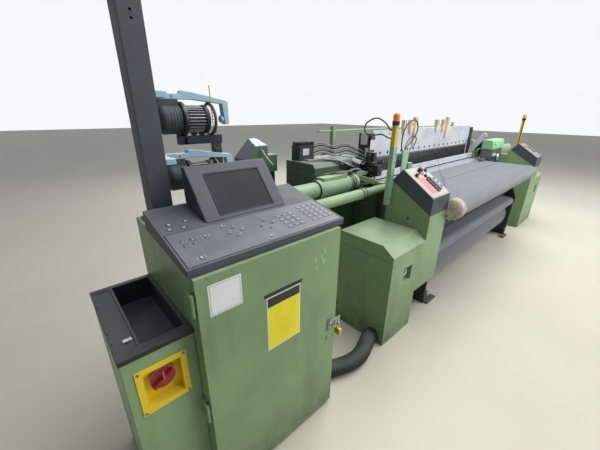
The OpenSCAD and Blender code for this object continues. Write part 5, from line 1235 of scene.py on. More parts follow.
def make_panels():
    """Sheets, keys, collars and round buttons of both panels."""
    left = face_frame((0, 35, 973), PANEL_TILT)
    far = mirrored_x(PANEL_FROM + PANEL_W)
    up = (0, -math.sin(math.radians(PANEL_TILT)), math.cos(math.radians(PANEL_TILT)))
    edge = 6
    for name, x, material in (("panel_sheet_left", PANEL_FROM, PANEL_LIGHT),
                              ("panel_sheet_right", far, PANEL_GREY)):
        sheet = boxes(name, [((x + edge, edge, 0.2), (x + PANEL_W - edge, PANEL_RUN - edge, PLATE_RISE))],
                      material, 1.0, left)
        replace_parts(sheet, "panel_plates")
        heads(name + "_screws", [(on_panel(a, u, PLATE_RISE), up, 4) for a in (x + 16, x + PANEL_W - 16)
                                 for u in (16, PANEL_RUN - 16)], DULL_STEEL)
    boxes("panel_pink_field", [((1679, 42, PLATE_RISE - 0.4), (1754, 183, PLATE_RISE + 0.8))], PINK_LABEL,
          0.2, left)
    boxes("selector_base", [((1671, 183, PLATE_RISE - 0.4), (1715, 227, PLATE_RISE + 1.6))], YELLOW, 0.6, left)
    keys, lids, marks = [], [], []
    tilt = (math.radians(PANEL_TILT), 0, 0)
    lot = random.Random(8)
    for column, x in enumerate((1778, 1816)):
        for row in range(5):
            u = 52 + row * 26 + column * 10
            keys.append((on_panel(x, u, PLATE_RISE + 3), (30, 21, 8), tilt))
            lids.append((on_panel(x, u, PLATE_RISE + 7.4), (24, 15, 2), tilt))
            marks.append((on_panel(x + lot.uniform(-3, 3), u, PLATE_RISE + 8.6),
                          (9 + 6 * lot.random(), 3.2, 0.5), tilt))
    for row in range(6):
        u = 58 + row * 19
        (lids if row % 2 else marks).append((on_panel(1867, u, PLATE_RISE + 1), (15, 16, 4), tilt))
    tiles("panel_keys", keys, BLACK)
    tiles("panel_key_lids", lids, MARK_DARK)
    tiles("panel_key_marks", marks, MARK_PALE)

    def collars(bm):
        for x, u, radius in ((1785, 234, 27), (1693, 205, 19), (1860, 234, 17), (1795, 187, 17)):
            ring = bmesh.new()
            add_turned(ring, ring_profile(0, 3, radius - 5, radius, 1), (0, 0, 0), "Z", 36, True)
            slope = Matrix.Translation(on_panel(x, u, PLATE_RISE - 0.2)) @ Matrix.Rotation(
                math.radians(PANEL_TILT), 4, "X")
            bmesh.ops.transform(ring, matrix=slope, verts=ring.verts)
            part = bpy.data.meshes.new("part")
            ring.to_mesh(part)
            ring.free()
            bm.from_mesh(part)
            bpy.data.meshes.remove(part)

    piece_from("button_collars", collars, BLACK)
    heads("right_panel_orange", [(on_panel(far + 70, 226, PLATE_RISE + 5), up, 17)], ORANGE, 28, 0.7, 0.8)
    heads("right_panel_lime", [(on_panel(far + 128, 214, PLATE_RISE + 5), up, 15),
                               (on_panel(far + 60, 170, PLATE_RISE + 5), up, 13)], YELLOW, 28, 0.7, 0.8)
    heads("right_panel_black", [(on_panel(far + 180, 210 - 34 * k, PLATE_RISE + 4), up,
                                 12) for k in range(4)], BLACK, 24, 0.7, 0.8)


make_panels()


# Sley and shedding: fine reed, heald frames with their wires, warp lines through the shed
REED_Y = 690
REED_PITCH = 2


def make_reed():
    """Fine dents between two bars, with end pieces."""
    count = int((CLOTH_X[1] - CLOTH_X[0] + 16) / REED_PITCH)
    start = CLOTH_X[0] - 8
    dents = row_of("reed_dents", count, (start, REED_Y, 900), (REED_PITCH, 0, 0), (0.7, 7, 132), DENT_WIRE,
                   body="sley")

    def caps(bm):
        add_box(bm, (1912, 682.4, 958), (4182, 697, 1017.6))
        add_box(bm, (1912, 683, 830), (4182, 697, 856))
        for x in (1912, 4176):
            add_box(bm, (x, 683, 830), (x + 6, 697, 1017))
        add_rod(bm, (1912, 684, 963), (4182, 684, 963), 1.6, 8)

    for made in (dents, piece_from("reed_caps", caps, BAR_GREY, 2.5, body="sley")):
        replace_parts(made, "reed")


HEALDS = (("1", 762, 0), ("2", 788, -1), ("3", 814, -0.5))
HEALD_DROP = 70
HEALD_TOP = 1362
HEALD_FLOOR = 567
HEALD_BAR = 228
HEALD_X = (1936, 4158)


def make_heald_frames():
    """Each frame's bars, carrying rods, wires and eyes."""
    for tag, y, share in HEALDS:
        shift = share * HEALD_DROP
        top, low = HEALD_TOP + shift, HEALD_FLOOR + shift
        body = f"healds_{tag}"

        def frame_bars(bm):
            add_box(bm, (HEALD_X[0], y + 1, top - HEALD_BAR), (HEALD_X[1], y + 11, top))
            for z in (top - 6, top - 40, top - HEALD_BAR + 6, top - HEALD_BAR + 52):
                add_box(bm, (HEALD_X[0] + 1, y, z - 2), (HEALD_X[1] - 1, y + 12, z + 2))
            add_box(bm, (HEALD_X[0], y + 1, low), (HEALD_X[1], y + 11, low + 110))
            for z in (low + 6, low + 104):
                add_box(bm, (HEALD_X[0] + 1, y, z - 2), (HEALD_X[1] - 1, y + 12, z + 2))
            for x in (HEALD_X[0], HEALD_X[1] - 34):
                add_box(bm, (x, y + 1, low + 100), (x + 34, y + 11, top - HEALD_BAR + 8))

        def rods(bm):
            for z in (top - HEALD_BAR - 12, low + 124):
                add_box(bm, (HEALD_X[0] + 30, y + 4, z - 6), (HEALD_X[1] - 30, y + 8, z + 6))

        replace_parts(piece_from(f"heald_bars_{tag}", frame_bars, BAR_GREY, 0.8, body=body),
                    f"heald_frame_{tag}")
        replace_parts(piece_from(f"heald_rods_{tag}", rods, DULL_STEEL, 0.5, body=body), f"heald_frame_{tag}")
        height = (top - HEALD_BAR) - (low + 110)
        wires = row_of(f"heald_wires_{tag}", 460, (1972, y + 6, (top - HEALD_BAR + low + 110) / 2),
                       (4.68, 0, 0), (1.7, 1.2, height - 12), HEALD_WIRE, body=body)
        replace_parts(wires, f"heald_frame_{tag}")
        eyes = row_of(f"heald_eyes_{tag}", 460, (1972, y + 6, (top + low) / 2), (4.68, 0, 0), (2.4, 1.6, 9),
                      CHROME, body=body)
        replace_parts(eyes, f"heald_frame_{tag}")
    y = HEALDS[0][1]
    # The bar's holes are flat black discs: painted shade inside the openings.
    holes = [((1954 + 120 * k, y + 0.4, 1164), DOWN_Y, 13) for k in range(19)]
    heads("heald_bar_holes", holes, HOLE_SHADE, 16, 0.1, 0.9, body="healds_1")
    heads("heald_bar_rivets", [((1954 + 240 * k, y - 0.1, 1330), DOWN_Y, 6) for k in range(10)], DULL_STEEL,
          body="healds_1")


CLIP_W = 48


def make_clip_springs():
    """Coil springs of the wooden clips."""
    low_x = (2409, 2529, 2616, 3104, 3264, 3366)
    heads("clip_springs", [((x + CLIP_W / 2, 744.5, 1400), DOWN_Y, 9) for x in low_x], STEEL, 18, 0.4, 0.7,
          body="healds_1")


SHED_POINTS = {"1": 961, "2": 891, "3": 926}


def make_shed():
    """Warp ends through the shed: from the fell to each frame's eyes, and from there to the warp sheet."""
    start = span_of("warp_sheet")[0].y
    for tag, y, _ in HEALDS:
        eye = (y + 6, SHED_POINTS[tag])
        for name, points in ((f"shed_front_{tag}", [(FELL_Y, CLOTH_Z), eye]),
                             (f"shed_back_{tag}", [eye, (start, CLOTH_Z)])):
            made, length = make_web(name, points, CLOTH_X, SHED_ENDS, 40, 0.0, 0.6)


def make_loose_yarn():
    """One loose red yarn, and the dark mark line along the cloth."""
    path = smooth_path([(3151, 690, 1024), (2990, 600, 960), (2760, 470, 931), (2500, 330, 930),
                        (2275, 229, 929.5)], 8)
    piece_from("loose_yarn", lambda bm: add_tube(bm, path, 1.4, 6), YARN_RED)
    boxes("cloth_mark", [((2446, 335, 927.2), (4069, 338, 928.2))], MARK_DARK, 0.2)


make_reed()
make_heald_frames()
make_clip_springs()
make_shed()
make_loose_yarn()


# Cables: each runs from one housing to another and lies on what is under it
def make_cable(name, route, radius, material=None, replaced=None):
    """A round cable along a route of given points."""
    path = smooth_path(route, 8)
    made = piece_from(name, lambda bm: add_tube(bm, path, radius, 10), material or SLEEVE)
    if replaced:
        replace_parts(made, replaced)


BANK_ROUTE = [(1470, 1030, 1160), (1486, 1023, 1166), (1502, 1016, 1172), (1560, 980, 1190), (1640, 910, 1165),
              (1720, 850, 1185), (1800, 800, 1150), (1840, 785, 1135), (1860, 775, 1125), (1880, 767, 1115)]
LOOP_ROUTE = [(1595, 372, 1395), (1595, 384, 1395), (1595, 396, 1396), (1597, 440, 1440), (1599, 514, 1468),
              (1600, 592, 1436), (1602, 612, 1385), (1603, 560, 1345), (1600, 470, 1362), (1590, 408, 1345),
              (1587, 390, 1341), (1583, 372, 1340)]
SIDE_LOOP = [(1850, 376, 1140), (1850, 390, 1160), (1850, 404, 1182), (1858, 440, 1260), (1866, 446, 1350),
             (1910, 446, 1420), (1980, 444, 1452), (2050, 444, 1440), (2078, 444, 1390), (2046, 442, 1330),
             (1970, 440, 1280), (1900, 430, 1240), (1862, 400, 1190), (1857, 390, 1170), (1852, 380, 1150)]
SMALL_LOOP = [(1850, 376, 1120), (1852, 388, 1142), (1854, 400, 1164), (1880, 424, 1250), (1940, 428, 1320),
              (2010, 428, 1336), (2044, 426, 1306), (2010, 424, 1262), (1940, 420, 1232), (1880, 404, 1196),
              (1866, 394, 1174), (1858, 384, 1152), (1850, 374, 1130)]


def make_harness():
    """All cables between the connector bank, the guide and the guard tube, and their housings."""
    for i in range(5):
        route = [(x, y + 9 * i, z + 18 * i) for x, y, z in BANK_ROUTE]
        make_cable(f"bank_cable_{i + 1}", route, 5.5, SLEEVE if i % 2 else SLEEVE_GREY, "cable_harness")
    make_cable("loop_cable", LOOP_ROUTE, 5, SLEEVE, "cable_harness")
    make_cable("side_loop_cable", SIDE_LOOP, 4.5)
    make_cable("small_loop_cable", SMALL_LOOP, 4)
    lot = random.Random(21)
    for i in range(9):
        drop = 12 * (i % 3)
        a, b, c = lot.uniform(0, 50), lot.uniform(-14, 14), lot.uniform(-14, 14)
        level = 1141 + 7 * (i % 2)
        route = [(1800, 800 - 9 * i, 1128 - drop), (1786, 800 - 9 * i, 1126 - drop),
                 (1772, 800 - 9 * i, 1122 - drop),
                 (1716, 790 + b - 6 * i, 1112 + c), (1640, 770 + c - 5 * i, 1106 + b),
                 (1560, 800 + b + a, 1140),
                 (1500, 846 + c + a, level), (1440, 900 - b + a * 0.5, level), (1400, 925 + a, 1142),
                 (1380, 935 + a, 1141), (1360, 945 + a, 1141)]
        make_cable(f"tangle_cable_{i + 1}", route, 4.0 + (i % 3) * 1.1, SLEEVE if i % 3 == 1 else SLEEVE_GREY)
    for i in range(8):
        a, b, c = lot.uniform(-16, 16), lot.uniform(-16, 16), lot.uniform(-10, 10)
        start = 1776 - 8 * i
        route = [(start, 745 - 6 * i, 1062), (start - 14, 744 - 6 * i, 1066), (start - 28, 743 - 6 * i, 1070),
                 (1640, 712 + a, 1078), (1560, 688 + b, 1072), (1480, 664 + a, 1078 + i % 2 * 7),
                 (1400, 676 + c, 1077 + i % 3 * 6),
                 (1330, 706 + b, 1076), (1290, 752 + c, 1064), (1276, 790 + c, 1040), (1272, 806 + c, 1026),
                 (1271, 820 + c, 1014)]
        make_cable(f"pad_cable_{i + 1}", route, 3.2 + (i % 3) * 0.9, (SLEEVE, SLEEVE_GREY, SLEEVE)[i % 3])
    hang = [(1770, 545, 910), (1770, 545, 898), (1770, 545, 886), (1768, 543, 820), (1766, 541, 760),
            (1768, 539, 712), (1774, 538, 684), (1784, 538, 666), (1792, 538, 657), (1800, 538, 650)]
    make_cable("hanging_cable", hang, 9)

    def bank(bm):
        add_box(bm, (1318, 1012, 1135), (1478, 1108, 1252))
        add_box(bm, (1314, 1010, 1138), (1482, 1110, 1150))
        add_box(bm, (1314, 1010, 1236), (1482, 1110, 1246))
        for k in range(5):
            add_rod(bm, (1476, 1030 + 9 * k, 1160 + 18 * k), (1492, 1024 + 9 * k, 1164 + 18 * k), 9, 12)

    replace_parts(piece_from("connector_bank", bank, BLACK, 1.5), "cable_harness")
    row_of("connector_comb", 11, (1326, 1060, 1262), (14.4, 0, 0), (7, 84, 34), BLACK)
    row_of("connector_comb_front", 10, (1330, 1009, 1266), (15, 0, 0), (7, 12, 24), SLEEVE)
    boxes("bank_label", [((1352, 1008.4, 1176), (1420, 1010.4, 1228))], MARK_PALE, 0.3)

    def plug(bm):
        turn = Matrix.Translation((1700, 742, 1132)) @ Matrix.Rotation(math.radians(24), 4,
                "Y") @ Matrix.Rotation(
            math.radians(-28), 4, "Z")
        add_box(bm, (-36, -18, -15), (36, 18, 15), turn)
        add_box(bm, (-46, -13, -11), (-34, 13, 11), turn)
        for y in (-9, 0, 9):
            add_box(bm, (-30, y - 2, 14), (30, y + 2, 17), turn)

    piece_from("pale_connector", plug, BAR_GREY, 2)
    boxes("connector_seat", [((1650, 726, 1060), (1740, 764, 1118)), ((1660, 720, 1100), (1676, 770, 1122))],
          BLACK_PAINT, 2)


make_harness()


# Heald guides with their machinery, at both ends of the shedding
def make_guides():
    """Channels at both ends of the heald frames, and the yarn presenter at the left."""
    for x0, x1, side in ((ROLL_END, 1948, "left"), (4146, 4214, "right")):
        def guide(bm):
            add_box(bm, (x0, 748, 260), (x1, 760, 1340))
            add_box(bm, (x0, 854, 260), (x1, 866, 1340))
            add_box(bm, ((x0 if side == "left" else x1 - 14), 748, 260),
                    ((x0 + 14 if side == "left" else x1), 866, 1340))
            for y in (778, 804):
                add_box(bm, (x0 + 8, y - 2, 300), (x1 - 8, y + 6, 1336))
            for z in range(300, 1330, 110):
                add_box(bm, (x0 + 2, 742, z), (x1 - 2, 864, z + 26))

        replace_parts(piece_from(f"heald_guide_{side}", guide, BLACK_PAINT, 2), "heald_guides")
        face = x0 if side == "left" else x1
        facing = LEFT_X if side == "left" else RIGHT_X
        spots = [((face, y, z), facing, 7) for y in (764, 850) for z in range(330, 1330, 140)]
        heads(f"guide_bolts_{side}", spots, DULL_STEEL)

    def presenter(bm):
        add_box(bm, (1806, 640, 1000), (1896, 748, 1120))
        add_box(bm, (1812, 604, 1010), (1880, 644, 1100))
        add_box(bm, (1830, 660, 1118), (1868, 740, 1196))
        add_box(bm, (1802, 684, 1090), (1898, 700, 1180))
        for k in range(6):
            add_rod(bm, (1816 + 13 * k, 612, 1098), (1816 + 13 * k, 612, 1150 - 9 * (k % 2)), 3, 8)
            add_box(bm, (1811 + 13 * k, 606, 1128), (1821 + 13 * k, 620, 1142))
        add_turned(bm, bar_profile(1800, 1812, 26, 3), (0, 690, 1050), "X", 32)
        add_turned(bm, bar_profile(-8, 20, 20, 3), (1856, 604, 1052), "Y", 28)

    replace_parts(piece_from("weft_presenter", presenter, BLACK_PAINT, 2), "heald_guides")
    boxes("guide_white_front", [((1884, 744.5, 1110), (1944, 748, 1322))], SCUFFED, 1)
    boxes("guide_white_side", [((1876.8, 774, 1246), (ROLL_END, 842, 1336)),
                               ((1877, 756, 1120), (ROLL_END, 790, 1220))], SCUFFED, 1)
    tiles("presenter_fingers", [((1822 + 10 * k, 602, 1040 + 6 * (k % 3)), (4, 6, 44),
                                 (0.1 * k, 0, 0)) for k in range(6)], DULL_STEEL)
    spots = [((1806, y, z), LEFT_X, 6) for y in (652, 736) for z in (1014, 1062, 1106)]
    heads("presenter_bolts", spots, STEEL)
    boxes("column_back_plates", [((1838, 362, 1040), (1862, 376, 1148)),
                                 ((1752, 362, 1040), (1836, 368, 1246)),
                                 ((1866, 360, 1060), (1894, 366, 1148))], MINT, 1.5)


make_guides()


# Rolls: yarn waste at the breast roll's end, wound cloth, warp beam, drop wires
def make_fluff():
    """A core of lumps, loose strands over it, and the ring at the cloth's edge."""
    lot = random.Random(3)
    middle = ((breast_low.y + breast_high.y) / 2, (breast_low.z + breast_high.z) / 2)
    radius = (breast_high.z - breast_low.z) / 2

    def lumps(bm):
        profile = [(1895, 0), (1895, 34), (1899, 52), (1905, radius - 6), (1912, radius + 1),
                   (1926, radius + 4), (1944, radius + 3), (1956, radius + 1), (1956, 0)]
        add_turned(bm, profile, (0, *middle), "X", 72)
        for vert in bm.verts:
            away = Vector((0, vert.co.y - middle[0], vert.co.z - middle[1]))
            if away.length > 20:
                bump = noise.noise(vert.co * 0.05) * 9 + noise.noise(vert.co * 0.19) * 4
                vert.co += away.normalized() * min(bump, 2.5)
                vert.co.x = max(vert.co.x + min(noise.noise(vert.co * 0.11) * 9, 3), 1891)

    def strands(bm):
        for _ in range(80):
            x = lot.uniform(1898, 1962)
            start, sweep = lot.uniform(0, 2 * math.pi), lot.uniform(0.7, 3.2)
            lean = lot.uniform(-38, 38)
            path = []
            for k in range(15):
                turn = start + sweep * k / 14
                reach = radius + 3.5 + 3.2 * math.sin(k * 1.7 + x)
                along = min(max(x + lean * (k / 14 - 0.5) + 4 * math.sin(k * 2.3 + x), 1892), 1972)
                path.append(Vector((along, middle[0] + reach * math.cos(turn),
                                    middle[1] + reach * math.sin(turn))))
            add_tube(bm, path, lot.uniform(0.8, 2.0), 5)
        for _ in range(110):
            turn = lot.uniform(0, 2 * math.pi)
            reach = lot.uniform(26, radius + 2)
            spot = Vector((1893, middle[0] + reach * math.cos(turn), middle[1] + reach * math.sin(turn)))
            path = [spot + Vector((lot.uniform(-3, 6), lot.uniform(-15, 15),
                                   lot.uniform(-15, 15))) for _ in range(6)]
            add_tube(bm, smooth_path(path, 4), lot.uniform(0.8, 1.7), 5)

    piece_from("yarn_waste_core", lumps, FLUFF, body="breast")
    piece_from("yarn_waste_strands", strands, YARN_ECRU, body="breast")
    piece_from("selvedge_ring", lambda bm: add_turned(bm, [(1962, radius - 3), (1962, radius + 3.4),
                                                       (1965, radius + 4.4),
               (1969, radius + 3.2), (1969, radius - 3)], (0, *middle), "X", 72, True), BAR_GREY,
               body="breast")


def make_wound_cloth():
    """The wound roll with its layered ends, core bar and wheel."""
    y, z = (wound_low.y + wound_high.y) / 2, (wound_low.z + wound_high.z) / 2
    radius = (wound_high.z - wound_low.z) / 2 - 0.4

    def wound(bm):
        profile = [(CLOTH_X[0], 30)]
        for k in range(24):
            reach = 34 + (radius - 38) * k / 23
            profile += [(CLOTH_X[0] + (1.6 if k % 2 else 0.0), reach),
                        (CLOTH_X[0] + (1.6 if k % 2 else 0.0), reach + 5)]
        profile += [(CLOTH_X[0] + 3, radius), (CLOTH_X[0] + 60, radius), (CLOTH_X[1] - 60, radius),
                    (CLOTH_X[1] - 3, radius)]
        for k in range(24):
            reach = radius - 4 - (radius - 38) * k / 23
            profile += [(CLOTH_X[1] - (1.6 if k % 2 else 0.0), reach),
                        (CLOTH_X[1] - (1.6 if k % 2 else 0.0), reach - 5)]
        profile += [(CLOTH_X[1], 30)]
        add_turned(bm, profile, (0, y, z), "X", 96, True)

    def core(bm):
        add_turned(bm, bar_profile(1900, 4194, 31, 3), (0, y, z), "X", 40)
        for x in (1904, 4178):
            add_turned(bm, ring_profile(x, x + 12, 28, 60, 2), (0, y, z), "X", 48, True)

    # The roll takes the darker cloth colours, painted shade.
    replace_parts(piece_from("wound_cloth", wound, SHADED_CLOTH_ROLL, body="wound_cloth"), "cloth_roll")
    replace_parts(piece_from("cloth_roll_core", core, DULL_STEEL, body="wound_cloth"), "cloth_roll")
    ribs_round("cloth_roll_teeth", 40, (1896, y, z), 58, 4.5, 9, IRON, 4, body="wound_cloth")
    piece_from("cloth_roll_wheel", lambda bm: add_turned(bm, ring_profile(1891, 1901, 14, 58, 1), (0, y, z),
                                                         "X", 60, True), IRON, body="wound_cloth")


def make_warp_beam():
    """Flanges with spokes, shaft, wound yarn and toothed wheel."""
    y, z = (beam_low.y + beam_high.y) / 2, (beam_low.z + beam_high.z) / 2

    def flanges(bm):
        for x in (CLOTH_X[0] - 15, CLOTH_X[1] + 3):
            add_turned(bm, [(x, 112), (x, 300), (x, 338), (x + 2, 349), (x + 10, 349), (x + 12, 338),
                            (x + 12, 300), (x + 12, 112)], (0, y, z), "X", 96, True)
            for k in range(8):
                turn = 2 * math.pi * k / 8
                out = Vector((0, math.cos(turn), math.sin(turn)))
                side = x - 4 if x < FRAME_MIDDLE else x + 16
                start = Vector((side, y, z))
                add_rod(bm, start + out * 116, start + out * 335, 6, 8)
            near = x - 8 if x < FRAME_MIDDLE else x + 4
            add_turned(bm, ring_profile(near, near + 16, 46, 150, 4), (0, y, z), "X", 64, True)

    def shaft(bm):
        add_turned(bm, bar_profile(*FRAME_X, 45.8, 3), (0, y, z), "X", 48)
        add_turned(bm, bar_profile(1884, 4625, 109.6, 4), (0, y, z), "X", 64)

    def yarn(bm):
        profile = [(CLOTH_X[0], 108)]
        steps = 150
        for k in range(steps + 1):
            x = CLOTH_X[0] + (CLOTH_X[1] - CLOTH_X[0]) * k / steps
            profile.append((x, WARP_RADIUS - 0.5 - 1.1 * (k % 2)))
        profile.append((CLOTH_X[1], 108))
        add_turned(bm, profile, (0, y, z), "X", 96, True)

    for name, build, material, slot in (("beam_flanges", flanges, DARK_GREEN, "dark_green_paint"),
                                        ("beam_shaft", shaft, STEEL, "steel"),
                                        ("beam_yarn", yarn, WARP_WOUND, "yarn")):
        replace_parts(piece_from(name, build, material, body="beam"), "warp_beam")
    ribs_round("beam_teeth", 72, (4640, y, z), 176, 5.5, 22, IRON, 4, body="beam")
    piece_from("beam_wheel", lambda bm: add_turned(bm, ring_profile(4629.5, 4651, 46, 175, 2), (0, y, z), "X",
                                                   96, True), IRON, body="beam")


def make_stop_motion():
    """Four rows of drop wires on their bars."""
    for k in range(4):
        y = 1010 + 46 * k
        wires = row_of(f"drop_wires_{k + 1}", 560, (CLOTH_X[0] + 6, y, 958), (4, 0, 0), (2.6, 0.7, 58), STEEL)
        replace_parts(wires, "stop_motion")

    def bars(bm):
        for k in range(4):
            y = 1010 + 46 * k
            add_box(bm, (ROLL_END, y - 3, 968), (4629, y + 3, 990))
        for x in (ROLL_END, 4617):
            add_box(bm, (x, 988, 958), (x + 12, 1170, 990))
        for k in range(16):
            x = 2000 + 140 * k
            add_box(bm, (x - 3, 990, 966), (x + 3, 1168, 972))

    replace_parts(piece_from("stop_bars", bars, DULL_STEEL, 0.8), "stop_motion")


make_fluff()
make_wound_cloth()
make_warp_beam()
make_stop_motion()


# Guard tube fittings, brackets and the hanging control cable
def make_tube_fittings():
    """Bands and screws of the tubes, and the struts that carry them."""
    def bands(bm):
        for x0, x1, radius, inner, axis in ((1519, 1531, 60.4, 54, GUARD_AXIS),
                                            (1547, 1559, 60.4, 54, GUARD_AXIS),
                                            (1158, 1163, 66.5, 54, GUARD_AXIS),
                                            (1487, 1492, 66.5, 54, GUARD_AXIS),
                                            (1462, 1470, 42.4, 36, CROSS_AXIS),
                                            (1500, 1508, 38.4, 30, CROSS_AXIS)):
            add_turned(bm, ring_profile(x0, x1, inner, radius, 1), axis, "X", 56, True)
        add_box(bm, (1519, 655, 1048), (1531, 675, 1062))
        add_box(bm, (1547, 655, 1048), (1559, 675, 1062))

    piece_from("tube_bands", bands, BLACK_PAINT, 0.6)
    heads("pad_screws", [((x, y, 1071.2), UP_Z, 5) for x in (1224, 1440) for y in (640, 690)], DULL_STEEL)

    def bar_between(bm, a, b, width, depth):
        a, b = Vector(a), Vector(b)
        turn = (b - a).to_track_quat("X", "Z").to_matrix().to_4x4()
        add_box(bm, (0, -depth / 2, -width / 2), ((b - a).length, depth / 2, width / 2),
                Matrix.Translation(a) @ turn)

    def struts(bm):
        bar_between(bm, (1553, 700, 1046), (1796, 530, 962), 40, 12)
        bar_between(bm, (1650, 690, 1040), (1796, 690, 1030), 30, 12)
        add_box(bm, (1740, 500, 905), (FRAME_X[0], 560, 985))
        add_box(bm, (1560, 722, 1010), (FRAME_X[0], 800, 1046))

    piece_from("tube_struts", struts, GREEN, 2.5)
    heads("strut_screws", [((1799, 545, 990), UP_Z, 8), ((1600, 760, 1046), UP_Z, 8),
                           ((1720, 760, 1046), UP_Z, 8)], DULL_STEEL)


make_tube_fittings()


# Right end: bright cap, steel lever, round motor, and the temples' jaws
def make_right_end():
    """Cap, housing and gear covers, lever, motor face and temple jaws."""
    def cap(bm):
        add_profile(bm, [(468, 1067), (468, 1150), (486, 1185), (590, 1185), (600, 1170), (600, 1067)], 4226,
                    4700)

    def housing(bm):
        add_profile(bm, [(602, 1067), (602, 1150), (620, 1168), (700, 1160), (719, 1130), (719, 1067)], 4262,
                    4628)

    def gear_box(bm):
        add_profile(bm, [(800, 150), (800, 1105), (830, 1135), (1140, 1135), (1140, 150)], 1285, FRAME_X[0])
        add_profile(bm, [(812, 300), (812, 1060), (1128, 1060), (1128, 300)], 1281.5, 1285)
        add_profile(bm, [(800, 150), (800, 1105), (1140, 1105), (1140, 150)], FRAME_X[1], 4869)
        add_box(bm, (1330, 796.5, 420), (1760, 800, 1040))

    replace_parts(piece_from("right_cap", cap, BRIGHT_GREEN, 6), "drive_covers")
    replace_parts(piece_from("right_housing", housing, IRON, 4), "drive_covers")
    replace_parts(piece_from("gear_covers", gear_box, DARK_GREEN, 4), "drive_covers")
    # The cap's hole is a thin black disc: painted shade inside the opening.
    heads("cap_hole_shade", [((4320, 467.6, 1128), DOWN_Y, 14)], BLACK, 24, 0.1, 0.9)
    spots = [((x, 796.4, z), DOWN_Y, 7) for x in (1345, 1545, 1745) for z in (436, 1024)]
    spots += [((1281.4, y, z), LEFT_X, 7) for y in (826, 1114) for z in (314, 680, 1046)]
    heads("gear_cover_screws", spots, DULL_STEEL)

    def lever(bm):
        outline = [(748, 1002), (768, 1016), (752, 1070), (668, 1196), (626, 1262), (596, 1276), (570, 1258),
                   (566, 1222), (600, 1170), (680, 1056), (716, 1006)]
        add_profile(bm, outline, 4214.5, 4228)
        add_turned(bm, ring_profile(4210, 4230, 9, 28, 3), (0, 590, 1240), "X", 32, True)
        add_turned(bm, bar_profile(4208, 4234, 22, 3), (0, 742, 1022), "X", 32)

    piece_from("right_lever", lever, BAR_GREY, 2)

    def motor_face(bm):
        centre = (4292, 394, 975)
        add_turned(bm, [(0.6, 0), (0.6, 14), (-1.5, 16), (-1.5, 36), (2, 40), (2, 47), (12, 47), (12, 0)],
                   centre, "Y", 48)

    piece_from("small_motor_face", motor_face, CHROME)
    piece_from("small_motor_ring", lambda bm: add_turned(bm, ring_profile(14, 30, 44, 49.5, 2),
                                                         (4292, 394, 975), "Y", 48, True), BLACK)

    def jaws(bm):
        for low, high in (((4175, 500, 930), (4192, 545, 958)), ((1902, 500, 930), (1919, 545, 958))):
            add_box(bm, low, high)
        for x0, side in ((4150, 1), (1944, -1)):
            for k, (y, z) in enumerate(((505, 948), (530, 953))):
                a = Vector((x0, y, z))
                add_rod(bm, a, a + Vector((-side * 46, (-1) ** k * 16, 0)), 3.2, 10)
                add_turned(bm, bar_profile(-4, 4, 7, 1), (a.x - side * 20, y + (-1) ** k * 6, z), "Z", 18)

    piece_from("temple_jaws", jaws, STEEL, 0.8)


make_right_end()


# Covers, frames and motor: screws, bolts, cooling slots and a terminal box
def make_fastenings():
    """Lids of the box at the left end, its shaft and cable, and every visible screw and slot."""
    top = [(996, 1152, 1258.4), (1108, 1152, 1258.4), (1108, 1308, 1301.4), (1039, 1308, 1301.4)]
    slant = [(902, 1152, 1166.5), (992, 1152, 1257), (1035, 1308, 1300), (902, 1308, 1166.5)]
    piece_from("dobby_lid", lambda bm: add_slab(bm, top, (0, 0, 1), 1.8), BAR_GREY, 0.5)
    piece_from("dobby_side_lid", lambda bm: add_slab(bm, slant, (-0.7, 0, 0.7), 1.8), SLATE, 0.5)
    heads("dobby_lid_screws", [((x, y, 1260 + (y - 1152) * 0.275), UP_Z, 5) for x in (1046,
            1100) for y in (1164, 1296)], DULL_STEEL)

    def shaft(bm):
        profile = [(879, 0), (879, 33)]
        for z in (892, 914, 936, 1000, 1022, 1040):
            profile += [(z, 33), (z + 1, 29), (z + 5, 29), (z + 6, 33)]
        add_turned(bm, profile + [(1050, 33), (1050, 0)], (1165, 1195, 0), "Z", 36)

    piece_from("dobby_shaft_sleeve", shaft, IRON)
    sag = [(1046, 1150, 1225), (1046, 1140, 1224), (1046, 1130, 1222), (1060, 1118, 1190), (1090, 1112, 1150),
           (1120, 1116, 1120), (1138, 1130, 1110), (1146, 1140, 1106), (1150, 1150, 1104)]
    make_cable("dobby_cable", sag, 5, MARK_PALE)
    spots = []
    for x0, x1 in ((1233, 1542), (mirrored_x(1542), mirrored_x(1233))):
        spots += [((x, 34.9, z), DOWN_Y, 5) for x in (x0 + 8, x1 - 8) for z in (40, 610)]
    heads("cover_screws", spots, DULL_STEEL)
    bolts = []
    for x, facing in zip(FRAME_X, (LEFT_X, RIGHT_X)):
        for y, z in ((420, 120), (560, 120), (1400, 120), (1690, 120), (420, 700), (1700, 700), (1420, 760),
                     (600, 300)):
            bolts.append(((x, y, z), facing, 12))
    heads("frame_bolts", bolts, DULL_STEEL, 6, 0.7, 0.4)
    # Cooling slots drawn as dark tiles: painted shade inside the openings.
    slots = [((60 + 18 * k, 560.4, z), (9, 1.6, 90), (0, 0, 0)) for k in range(30) for z in (180, 880)]
    tiles("cabinet_back_slot_shade", slots, MARK_DARK)
    slots = [((651.4, 120 + 22 * k, 760), (1.6, 10, 120), (0, 0, 0)) for k in range(16)]
    tiles("cabinet_side_slot_shade", slots, MARK_DARK)
    heads("cabinet_back_screws", [((x, 560, z), BACK_Y, 5) for x in (24, 627) for z in (60, 540, 1040)],
          DULL_STEEL)


make_fastenings()


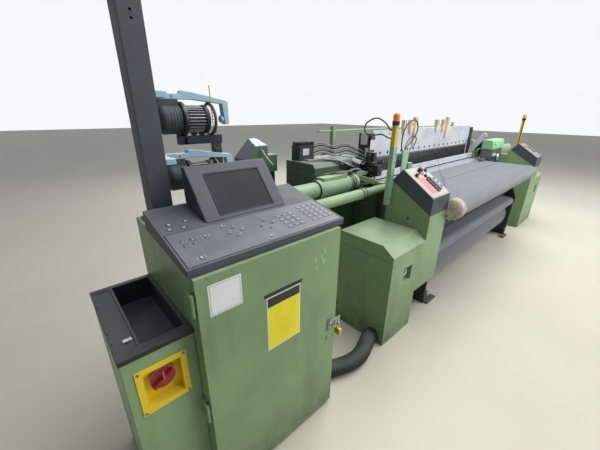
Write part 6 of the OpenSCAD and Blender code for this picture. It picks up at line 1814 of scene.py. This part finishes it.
# Light, floor and backdrop
def floor_paint():
    """Plain pale sealed floor with a very faint mottle."""
    material = bpy.data.materials.new("floor_paint")
    material.use_nodes = True
    tree = material.node_tree
    shader = tree.nodes["Principled BSDF"]
    place = add_node(tree, "ShaderNodeTexCoord").outputs["Object"]
    mottle = ramp(tree, noise_at(tree, place, 0.8, 4), 0.3, 0.7)
    put(tree, shader.inputs["Base Color"], blend_colour(tree, mottle, srgb(196, 193, 178), srgb(202, 199, 184)))
    put(tree, shader.inputs["Roughness"], ramp(tree, mottle, 0.0, 1.0, 0.38, 0.44))
    return material


def make_stage():
    """View, world, floor and three soft lights."""
    scene = bpy.context.scene
    scene.view_settings.view_transform = "Standard"
    world = bpy.data.worlds.new("studio")
    scene.world = world
    world.use_nodes = True
    tree = world.node_tree
    tree.nodes.clear()
    seen = add_node(tree, "ShaderNodeLightPath")
    bright = add_node(tree, "ShaderNodeBackground", Color=(0.93, 0.94, 0.96, 1), Strength=1.0)
    soft = add_node(tree, "ShaderNodeBackground", Color=(0.93, 0.96, 1.0, 1), Strength=0.22)
    mixed = add_node(tree, "ShaderNodeMixShader")
    output = tree.nodes.new("ShaderNodeOutputWorld")
    put(tree, mixed.inputs[0], calc(tree, "ADD", seen.outputs["Is Camera Ray"], calc(
        tree, "MULTIPLY", seen.outputs["Is Glossy Ray"], 0.6), True))
    tree.links.new(soft.outputs[0], mixed.inputs[1])
    tree.links.new(bright.outputs[0], mixed.inputs[2])
    tree.links.new(mixed.outputs[0], output.inputs[0])
    bpy.ops.mesh.primitive_plane_add(size=60, location=(0, 0, -0.001))
    floor = bpy.context.object
    floor.name = "floor"
    floor.data.materials.append(floor_paint())
    for name, place, size, power, aim in (
            ("lamp_overhead", (0.8, -0.6, 4.6), (7, 3), 310, (0.4, 0, 0)),
            ("lamp_aisle", (3.6, -5.4, 3.4), (5, 2.5), 285, (0.2, 0, 0.5)),
            ("lamp_rear", (1.5, 4.5, 3.6), (6, 2.5), 110, (0.4, 0, 0.8))):
        data = bpy.data.lights.new(name, "AREA")
        data.shape = "RECTANGLE"
        data.size, data.size_y = size
        data.energy = power
        light = bpy.data.objects.new(name, data)
        scene.collection.objects.link(light)
        light.location = place
        light.rotation_euler = (Vector(aim) - Vector(place)).to_track_quat("-Z", "Y").to_euler()


make_stage()
